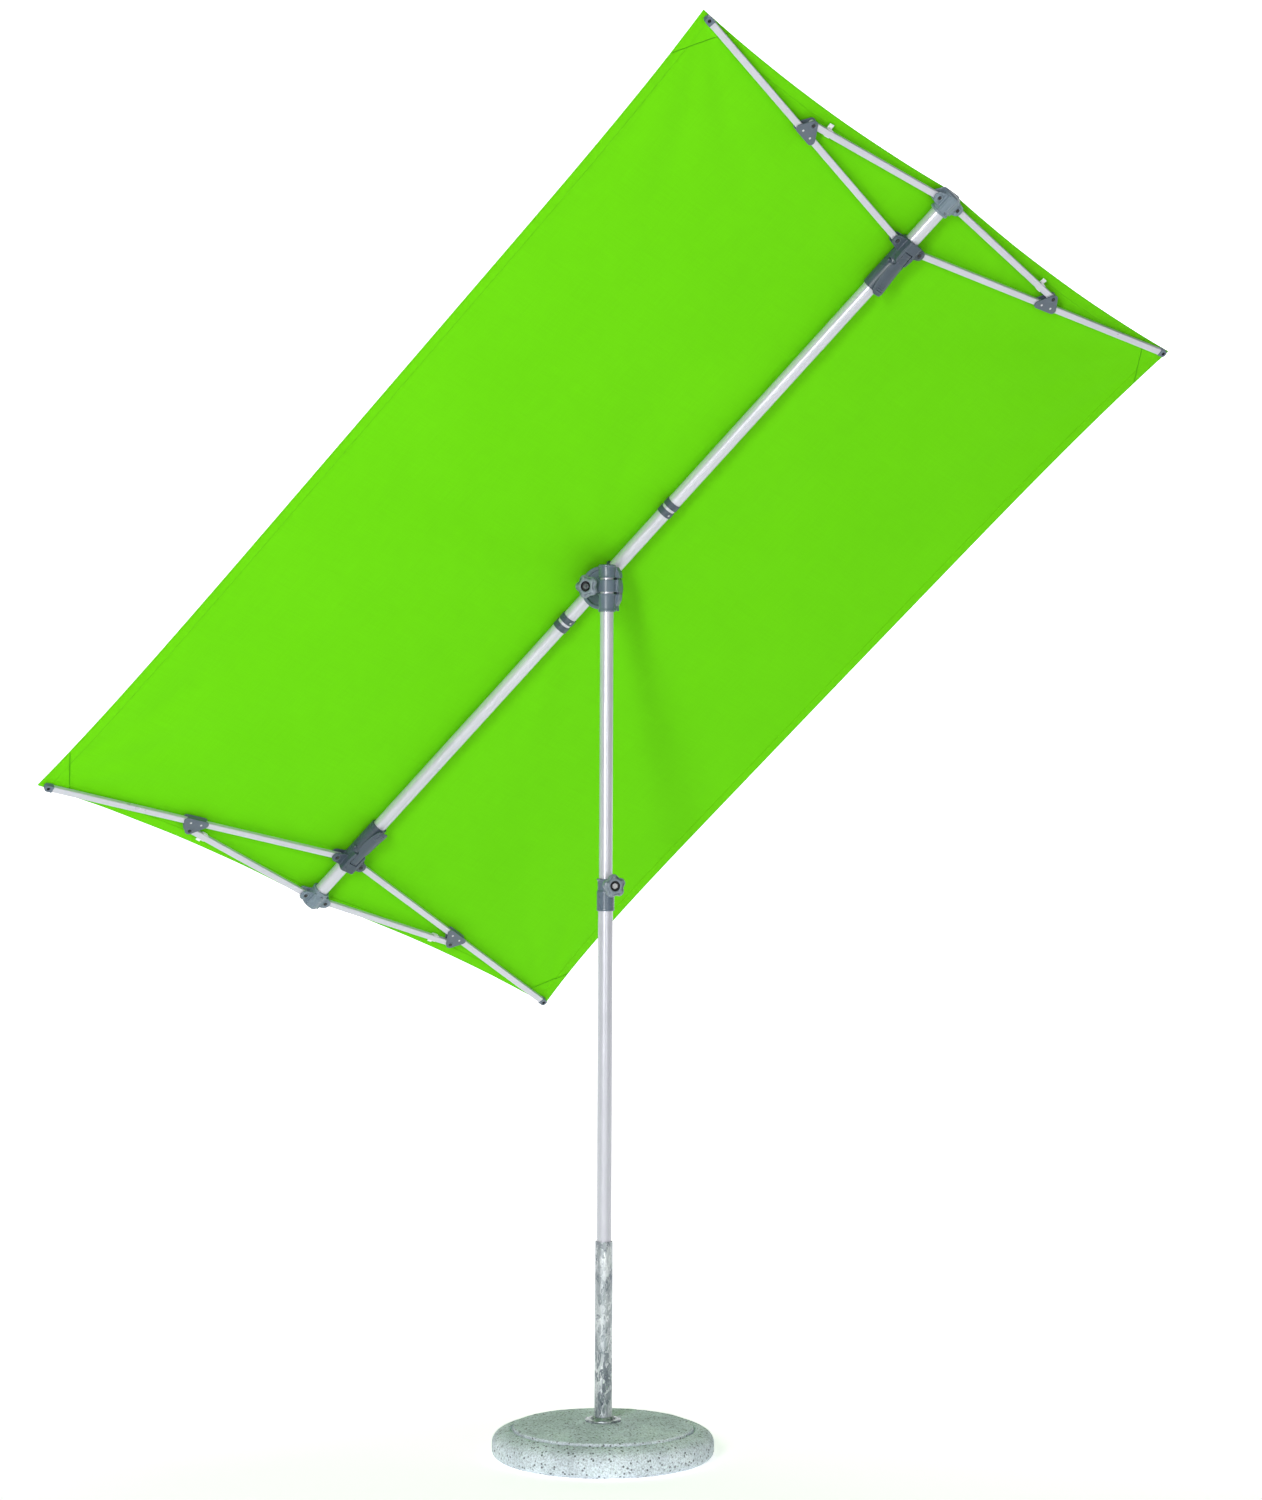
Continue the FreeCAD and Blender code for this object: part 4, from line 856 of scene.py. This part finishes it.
def make_collar():
    """Height clamp: wide skirt, narrower neck with a lip, and the boss of the screw."""
    piece = Moulding(collar_frame)
    outside = [
        (0.2, 0), (0.2, 17.6), (1.0, 18.5), (3.0, 18.7), (4.2, 18.3), (40.0, 18.3), (42.2, 17.9),
        (43.4, 16.7), (63.6, 16.6), (64.8, 18.6), (67.2, 19.2), (67.9, 18.4), (67.9, 0),
    ]
    turned(piece.solid, outside, ALONG_Z)
    boss = shifted(z=54.0) @ BOSS_TURN
    turned(piece.solid, [(8.0, 0), (8.0, 10.6), (17.5, 10.6), (19.5, 10.0), (30.6, 9.8), (30.9, 0)], boss)
    for lift in (-1, 1):
        rib = [(8.0, 8.0), (8.0, 13.0), (17.5, 12.6), (27.0, 9.6), (27.0, 8.0)]
        slab(piece.solid, [(x, lift * y) for x, y in rib], -1.3, 1.3, boss @ UPRIGHT)
    bore = [(-2.0, 0), (-2.0, 15.7), (43.0, 15.7), (43.0, 14.5), (72.0, 14.5), (72.0, 0)]
    turned(piece.cuts, bore, ALONG_Z)
    turned(piece.cuts, [(14.6, 0), (14.6, 5.5), (34.0, 5.5), (34.0, 0)], boss)
    return piece.melt("collar", 0.6, 3, 0.22)


# ---- end frames

START = 799.0                 # slider's inner end along the crossbar, when open


def add_ear(piece, pivot, radius, roots, aside, rim):
    """Two plates beside the bar that carry a pivot, each with a raised rim round its hole."""
    x, y = pivot
    foot = [(root, math.copysign(aside, y), 2.0) for root in roots]
    outline = tight_outline([(x, y, radius)] + foot)
    for low, high in ((-8.6, -5.4), (5.4, 8.6)):
        slab(piece.solid, outline, low, high)
    inner, outer = rim
    for low, high in ((-9.9, -8.4), (8.4, 9.9)):
        ring = [(low, inner), (low, outer), (high, outer), (high, inner)]
        turned(piece.solid, ring, shifted(x, y, 0) @ ALONG_Z, ring=True)


def make_slider():
    piece = Moulding(end_frame("upper"))
    piece.copy("slider_upper")
    bead = [(799.0, 15.7), (799.0, 17.6), (800.0, 18.2), (803.8, 18.2), (805.0, 17.6), (805.0, 15.7)]
    collar = [(894.0, 15.7), (895.5, 20.2), (921.5, 20.6), (924.4, 19.6), (925.0, 18.0), (925.0, 15.7)]
    for ring in (bead, collar):
        turned(piece.solid, ring, ring=True)
    for sign in (-1, 1):
        add_ear(piece, (909.5, sign * 34.6), 12.2, (892.0, 921.0), 9.0, (5.4, 7.6))
        nub = shifted(START + 68.0, sign * 14.0, -8.0) @ Matrix.Rotation(sign * math.pi / 2, 4, "Z")
        turned(piece.solid, [(0, 0), (0, 5.0), (7.2, 4.6), (8.6, 3.2), (9.0, 0)], nub)
        cheek = [(74, 9.6), (127, 9.6), (127, 17.0), (96, 18.6), (78, 16.0)]
        slab(piece.solid, [(START + x, sign * y) for x, y in cheek], -22.4, -10.0)
    slab(piece.solid, box_outline(START + 104.6, -14.0, START + 127.0, 14.0), -23.8, -14.0)
    slot = box_outline(START + 69.0, -10.5, START + 104.2, 10.5)
    slab(piece.cuts, slot, -32.0, -18.1)
    turned(piece.cuts, [(START - 4, 0), (START - 4, 15.5), (START + 134, 15.5), (START + 134, 0)])
    return piece.melt("slider", 0.6, 3, 0.2)


def paddle_shape(along):
    """Half-width round the bar, inner and outer radius of the trigger's thumb paddle."""
    table = [
        (-2.0, 6.5, 29.6, 31.4), (0.0, 9.0, 29.0, 31.6), (5.0, 11.2, 27.8, 31.2),
        (14.0, 13.2, 26.0, 29.6), (26.0, 15.0, 23.6, 27.6), (42.0, 16.4, 22.2, 26.0),
        (56.0, 16.8, 21.4, 24.9), (66.0, 16.2, 20.9, 24.5), (69.5, 12.0, 20.5, 24.4),
        (71.5, 9.8, 19.5, 24.4), (92.0, 9.8, 19.5, 24.4), (99.5, 9.8, 19.5, 23.6),
        (100.5, 9.8, 19.5, 24.4), (102.4, 9.6, 19.5, 24.0), (103.0, 9.0, 19.8, 23.2),
    ]
    for first, second in zip(table, table[1:]):
        if first[0] <= along <= second[0]:
            share = (along - first[0]) / (second[0] - first[0])
            return [a + (b - a) * share for a, b in zip(first[1:], second[1:])]
    return table[-1][1:]


def make_trigger():
    piece = Moulding(end_frame("upper"))
    shape = piece.solid
    count = 18
    rows = []
    for along in [-2.0 + 105.0 * i / 90 for i in range(91)]:
        half, inner, outer = paddle_shape(along)
        row = []
        for radius, order in ((outer, 1), (inner, -1)):
            for i in range(count + 1):
                arc = order * half * (2 * i / count - 1) / 24.0
                row.append(shape.verts.new((START + along, radius * math.sin(arc), -radius * math.cos(arc))))
        rows.append(row)
    faces = [shape.faces.new(rows[0]), shape.faces.new(rows[-1])]
    bmesh.ops.recalc_face_normals(shape, faces=faces + joined(shape, rows))
    for i in range(4):
        grip = shifted(START + 7.0 + 5.0 * i, 0, -31.0 + 1.25 * i) @ ALONG_Y
        turned(shape, [(-8.0, 0), (-7.0, 0.9), (7.0, 0.9), (8.0, 0)], grip, segments=16)
    axle = shifted(START + 92.0, 0, -20.4) @ ALONG_Y
    turned(piece.cuts, [(-12.0, 0), (-12.0, 2.0), (12.0, 2.0), (12.0, 0)], axle, segments=32)
    return piece.melt("trigger", 0.5, 3, 0.2)


def make_crown():
    piece = Moulding(end_frame("upper"))
    piece.copy("crown_upper")
    bead = [(1003.0, 15.2), (1003.0, 19.6), (1004.0, 20.3), (1007.4, 20.3), (1008.8, 19.0), (1008.8, 15.2)]
    turned(piece.solid, bead, ring=True)
    dome = [
        (1036.0, 0), (1036.0, 19.4), (1044.0, 19.5), (1047.4, 18.2), (1049.4, 14.0), (1050.4, 7.0),
        (1050.6, 0),
    ]
    turned(piece.solid, dome)
    for sign in (-1, 1):
        add_ear(piece, (1029.0, sign * 28.8), 12.4, (1014.0, 1044.0), 10.0, (5.2, 7.4))
        cheek = [(1009, sign * 5), (1047, sign * 5), (1045, sign * 17.6), (1012, sign * 17.6)]
        slab(piece.solid, cheek, -15.0, -6.0)
    slab(piece.solid, box_outline(1010.0, -1.3, 1048.0, 1.3), -20.2, -15.0)
    hood = [(1026.0, -33.0, 8.0), (1026.0, 33.0, 8.0), (1041.0, -18.0, 10.0), (1041.0, 18.0, 10.0)]
    slab(piece.solid, tight_outline(hood), 8.4, 11.4)
    return piece.melt("crown", 0.6, 3, 0.2)


CAP_HOLE = 709.6              # along the rib


def make_rib_cap():
    piece = Moulding(rib_frame("upper", "right"))
    body = tight_outline([(700.5, -6.0, 1.5), (700.5, 6.0, 1.5), (711.0, -1.6, 6.2), (711.0, 1.6, 6.2)])
    slab(piece.solid, body, -5.5, 5.5)
    lip = box_outline(699.0, -8.0, 701.6, 8.0)
    slab(piece.solid, lip, -6.0, 6.0)
    slab(piece.solid, box_outline(703.0, -8.0, 707.0, 8.0), -1.4, 5.2)
    turned(piece.cuts, [(-7.0, 0), (-7.0, 3.7), (-1.6, 3.4), (-1.6, 0)], shifted(CAP_HOLE) @ ALONG_Z)
    return piece.melt("rib_cap", 0.42, 2, 0.3)


# Faces inside the rib cap's hole, painted near-black as the hole's shade.
def shaded_cap_hole(place):
    return math.hypot(place.x - CAP_HOLE, place.y) < 3.75 and -5.3 < place.z < 0


ELBOW_RIVETS = (345.0, 370.0)


def on_elbow_rivet(place):
    return abs(place.z) > 7.7 and any(math.hypot(place.x - x, place.y) < 2.4 for x in ELBOW_RIVETS)


def make_elbow():
    piece = Moulding(rib_frame("upper", "right"))
    plate = tight_outline([(336.6, 2.4, 8.4), (378.6, 2.4, 8.4), (363.0, -20.4, 10.4)])
    for low, high in ((-7.6, -5.1), (5.1, 7.6)):
        slab(piece.solid, plate, low, high)
    slab(piece.solid, box_outline(335.5, 7.1, 379.5, 9.6), -6.4, 6.4)
    pin = shifted(362.5, -20.9, 0) @ ALONG_Z
    for low, high in ((-8.5, -7.4), (7.4, 8.5)):
        turned(piece.solid, [(low, 4.9), (low, 6.7), (high, 6.7), (high, 4.9)], pin, ring=True)
    for x in ELBOW_RIVETS:
        for low, high in ((-8.2, -7.4), (7.4, 8.2)):
            turned(piece.solid, [(low, 0), (low, 2.1), (high, 2.1), (high, 0)], shifted(x) @ ALONG_Z)
    turned(piece.cuts, [(-9.0, 0), (-9.0, 2.4), (9.0, 2.4), (9.0, 0)], pin, segments=32)
    return piece.melt("elbow", 0.5, 2, 0.25)


def make_hook():
    """White clip that straddles the strut, with a headed post for the sail's loop."""
    piece = Moulding(strut_frame("upper", "right"))
    slab(piece.solid, box_outline(308.5, -8.0, 321.5, 8.0), 4.6, 6.2)
    for sign in (-1, 1):
        slab(piece.solid, box_outline(308.5, sign * 7.05, 321.5, sign * 8.3), -3.4, 6.2)
    slab(piece.solid, box_outline(309.5, -17.5, 320.5, -6.0), 5.9, 7.7)
    post = [(5.0, 0), (5.0, 3.8), (7.0, 2.9), (9.2, 2.9), (10.2, 4.6), (11.8, 5.0), (12.8, 4.0), (13.2, 0)]
    turned(piece.solid, post, shifted(315.0) @ ALONG_Z)
    return piece.melt("hook", 0.4, 2, 0.3)


fit(make_sleeve(), "head_casting", head_frame, "head", [PLASTIC_LIGHT], "head_sleeve")
fit(make_band(), "head_band", head_frame, "head", [PLASTIC_LIGHT], "clamp_band")
fit(make_saddle(), "bar_saddle", tilt_frame, "tilt_head", [PLASTIC], "tilt_saddle")
# The knobs' recess faces take the near-black second look: painted shade.
fit(
    knob_mesh("head_star", HEAD_HUB), "head_star_knob", head_knob_frame, "head_knob",
    [PLASTIC_KNOB, LINER_AND_SHADE_BLACK], "head_knob", paint=shaded_recess(HEAD_HUB),
)
fit(
    knob_mesh("height_star", HEIGHT_HUB), "height_star_knob", height_knob_frame, "height_knob",
    [PLASTIC_KNOB, LINER_AND_SHADE_BLACK], "height_knob", paint=shaded_recess(HEIGHT_HUB),
)
fit(
    make_collar(), "height_clamp", collar_frame, "lower_pole", [PLASTIC_LIGHT],
    "height_collar",
)

slider_mesh, trigger_mesh, crown_mesh = make_slider(), make_trigger(), make_crown()
cap_mesh, elbow_mesh, hook_mesh = make_rib_cap(), make_elbow(), make_hook()
for end in ENDS:
    for mesh, name, body, look, node in (
        (slider_mesh, "slider_shell", f"slider_{end}", PLASTIC, "slider"),
        (trigger_mesh, "paddle", f"trigger_{end}", PLASTIC, "trigger"),
        (crown_mesh, "crown_cap", "crossbar", PLASTIC_CROWN, "crown"),
    ):
        fit(mesh, f"{name}_{end}", end_frame(end), body, [look], f"{node}_{end}")
    for side in SIDES:
        tag = f"{end}_{side}"
        flip = side == "left"
        # The rib plug's hole faces take the near-black second look: painted shade.
        fit(
            cap_mesh, f"rib_plug_{tag}", rib_frame(end, side), f"rib_{tag}",
            [PLASTIC_LIGHT, LINER_AND_SHADE_BLACK], f"rib_cap_{tag}", flip, shaded_cap_hole,
        )
        fit(
            elbow_mesh, f"elbow_plates_{tag}", rib_frame(end, side), f"rib_{tag}",
            [PLASTIC_ELBOW, STEEL], f"elbow_bracket_{tag}", flip, on_elbow_rivet,
        )
        fit(
            hook_mesh, f"sail_hook_{tag}", strut_frame(end, side), f"strut_{tag}",
            [PLASTIC_WHITE], f"fabric_hook_{tag}", flip,
        )


# ---------------------------------------------------------------- base

BASE_HEIGHT = 75.0


def base_profile():
    """Outline of the cast base, (radius, height): out on its underside, round its rim and in to its bore."""
    flat, edge = 216.0, 17.0
    points = [(60.0, 0.0), (flat, 0.0)]
    points += [(flat + edge * math.sin(t), edge - edge * math.cos(t)) for t in steps(0.0, math.pi / 2, 8)[1:]]
    points += [(233.0, z) for z in (20.0, 23.0, 26.0, 29.0)]
    points += [
        (232.8, 33.0), (232.0, 37.0), (230.4, 41.0), (227.8, 45.0), (224.2, 48.8), (219.2, 52.2),
        (212.8, 55.2), (205.4, 57.6), (198.0, 59.4), (195.0, 59.8), (193.4, 56.4), (191.4, 55.8),
        (190.0, 57.2), (189.4, 63.4), (187.0, 65.2), (183.0, 65.8),
    ]
    points += [(183.0 - 4.0 * i, 65.8 + 9.0 * (i / 34.0)) for i in range(1, 35)]
    points += [(43.0, BASE_HEIGHT - 0.05), (34.0, BASE_HEIGHT), (18.6, BASE_HEIGHT), (18.6, 60.0)]
    return points


def sanded(place, radius, height):
    """A point of the concrete's skin, moved by its sand, shallow dents and air holes."""
    out, up = Vector((place.x, place.y, 0)).normalized(), Vector((0, 0, 1))
    if height < 45:
        away = out
    elif radius < 190:
        away = up
    else:
        away = (out + up).normalized()
    sand = noise.noise(place * 0.30) * 0.30 + noise.noise(place * 0.06) * 0.7
    hole = max(0.0, noise.noise(place * 0.20 + Vector((9, 4, 2))) - 0.38) * 5.0
    return place - away * (0.45 - sand + hole)


def fill_base(shape):
    """The cast disc, fine where its skin is sanded."""
    profile = base_profile()
    fine = [profile[0]]
    for (r0, z0), (r1, z1) in zip(profile, profile[1:]):
        count = max(1, round(math.hypot(r1 - r0, z1 - z0) / 2.4)) if z1 > 8 and z0 < BASE_HEIGHT - 0.1 else 1
        fine += [(r0 + (r1 - r0) * i / count, z0 + (z1 - z0) * i / count) for i in range(1, count + 1)]
    segments = 480
    rows = []
    for radius, height in fine:
        row = []
        for i in range(segments):
            turn = 2 * math.pi * i / segments
            place = Vector((radius * math.cos(turn), radius * math.sin(turn), height))
            if 2.0 < height < BASE_HEIGHT - 0.1 and radius > 45.0:
                place = sanded(place, radius, height)
            row.append(shape.verts.new(place * 0.001))
        rows.append(row)
    joined(shape, rows)
    shape.faces.new(list(reversed(rows[0])))
    shape.faces.new(rows[-1])
    bmesh.ops.recalc_face_normals(shape, faces=shape.faces)


def fill_flange(shape):
    """Steel ring on the concrete with an uneven weld bead round the tube's foot."""
    profile = [
        (18.6, 0.0), (37.0, 0.0), (37.5, 0.6), (37.5, 3.2), (36.8, 4.0), (30.0, 4.0), (25.4, 4.2),
        (24.2, 5.6), (22.4, 7.4), (20.6, 8.8), (18.6, 9.4),
    ]
    segments = 160
    rows = []
    for radius, height in profile:
        row = []
        for i in range(segments):
            turn = 2 * math.pi * i / segments
            cosine, sine = math.cos(turn), math.sin(turn)
            ripple = 0.0
            if height > 4.05:
                ripple = 0.5 * math.sin(turn * 46) + 1.1 * noise.noise(Vector((5 * cosine, 5 * sine, 3)))
            reach = 0.001 * (radius + (ripple if radius > 19.0 else 0.0))
            lift = 0.001 * (BASE_HEIGHT + height + 0.4 * ripple)
            row.append(shape.verts.new((reach * cosine, reach * sine, lift)))
        rows.append(row)
    bmesh.ops.recalc_face_normals(shape, faces=joined(shape, rows, ring=True))


foot = make_object("cast_base", fill_base, [CONCRETE])
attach(foot, "base")
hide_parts("concrete_base")
flange = make_object("welded_flange", fill_flange, [ZINC])
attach(flange, "base")
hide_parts("stand_flange")


# ---------------------------------------------------------------- studio

def fill_backdrop(shape):
    """Pale floor that runs back and curves up into a wall."""
    front, back, radius, top, half = -12.0, 14.0, 3.0, 12.0, 26.0
    profile = [(front, 0.0), (back, 0.0)]
    for i in range(1, 17):
        turn = math.pi / 2 * i / 16
        profile.append((back + radius * math.sin(turn), radius * (1 - math.cos(turn))))
    profile.append((back + radius, top))
    lines = [[shape.verts.new((side * half, y, z)) for y, z in profile] for side in (-1, 1)]
    for i in range(len(profile) - 1):
        shape.faces.new((lines[0][i], lines[1][i], lines[1][i + 1], lines[0][i + 1]))


def studio_paint():
    """White paint with a glow that grows towards the back of the studio."""
    shader = Shader("studio_paint", 0.9, 0.0, Specular_IOR_Level=0.1)
    split = shader.add("ShaderNodeSeparateXYZ", Vector=shader.place())
    glow = shader.add("ShaderNodeMapRange", Value=split.outputs["Y"])
    for socket, number in (("From Min", -1.5), ("From Max", 2.5), ("To Min", 0.30), ("To Max", 0.95)):
        glow.inputs[socket].default_value = number
    shader.join(glow.outputs["Result"], shader.surface.inputs["Emission Strength"])
    haze = shader.noise(shader.place(), 0.8, 2.0)
    return shader.finish(shader.ramp(haze, [(0.3, (0.90, 0.90, 0.90)), (0.7, (0.92, 0.92, 0.92))]))


backdrop = make_object("studio_floor", fill_backdrop, [studio_paint()])


def area_light(name, place, target, size, power):
    data = bpy.data.lights.new(name, "AREA")
    data.shape = "DISK"
    data.size = size
    data.energy = power
    lamp = bpy.data.objects.new(name, data)
    lamp.location = place
    lamp.rotation_euler = (Vector(target) - Vector(place)).to_track_quat("-Z", "Y").to_euler()
    bpy.context.collection.objects.link(lamp)


area_light("key", (-1.7, -6.7, 2.9), (0.0, 0.0, 1.4), 1.1, 172.0)
area_light("fill", (2.6, -6.4, 1.3), (0.0, 0.0, 1.4), 1.6, 36.0)
area_light("top", (0.4, 0.8, 6.2), (0.0, 0.2, 0.0), 4.0, 80.0)
area_light("foot", (-1.3, -4.2, 1.6), (0.0, 0.0, 0.1), 0.8, 48.0)

world = bpy.data.worlds.new("studio")
world.use_nodes = True
world.node_tree.nodes["Background"].inputs["Color"].default_value = (1.0, 1.0, 1.0, 1.0)
world.node_tree.nodes["Background"].inputs["Strength"].default_value = 0.15
bpy.context.scene.world = world
bpy.context.scene.view_settings.view_transform = "Standard"


# ---------------------------------------------------------------- camera

CAMERA_PLACE = (0.0, -7.0234, 1.4725)
CAMERA_YAW, CAMERA_PITCH, CAMERA_ROLL = (math.radians(x) for x in (-0.423, 0.047, -0.266))
LENS_MM, FILM_MM = 95.72, 36.0

aim = (
    Matrix.Rotation(CAMERA_YAW, 3, "Z") @ Matrix.Rotation(CAMERA_PITCH, 3, "X")
    @ Matrix.Rotation(CAMERA_ROLL, 3, "Y")
)
camera_data = bpy.data.cameras.new("camera")
camera_data.sensor_fit = "HORIZONTAL"
camera_data.sensor_width = FILM_MM
camera_data.lens = LENS_MM
camera_data.clip_end = 60.0
camera = bpy.data.objects.new("camera", camera_data)
axes = Matrix((aim.col[0], aim.col[2], -aim.col[1])).transposed()
camera.matrix_world = Matrix.Translation(CAMERA_PLACE) @ axes.to_4x4()
bpy.context.collection.objects.link(camera)
bpy.context.scene.camera = camera


# ---------------------------------------------------------------- final update

bpy.context.view_layer.update()
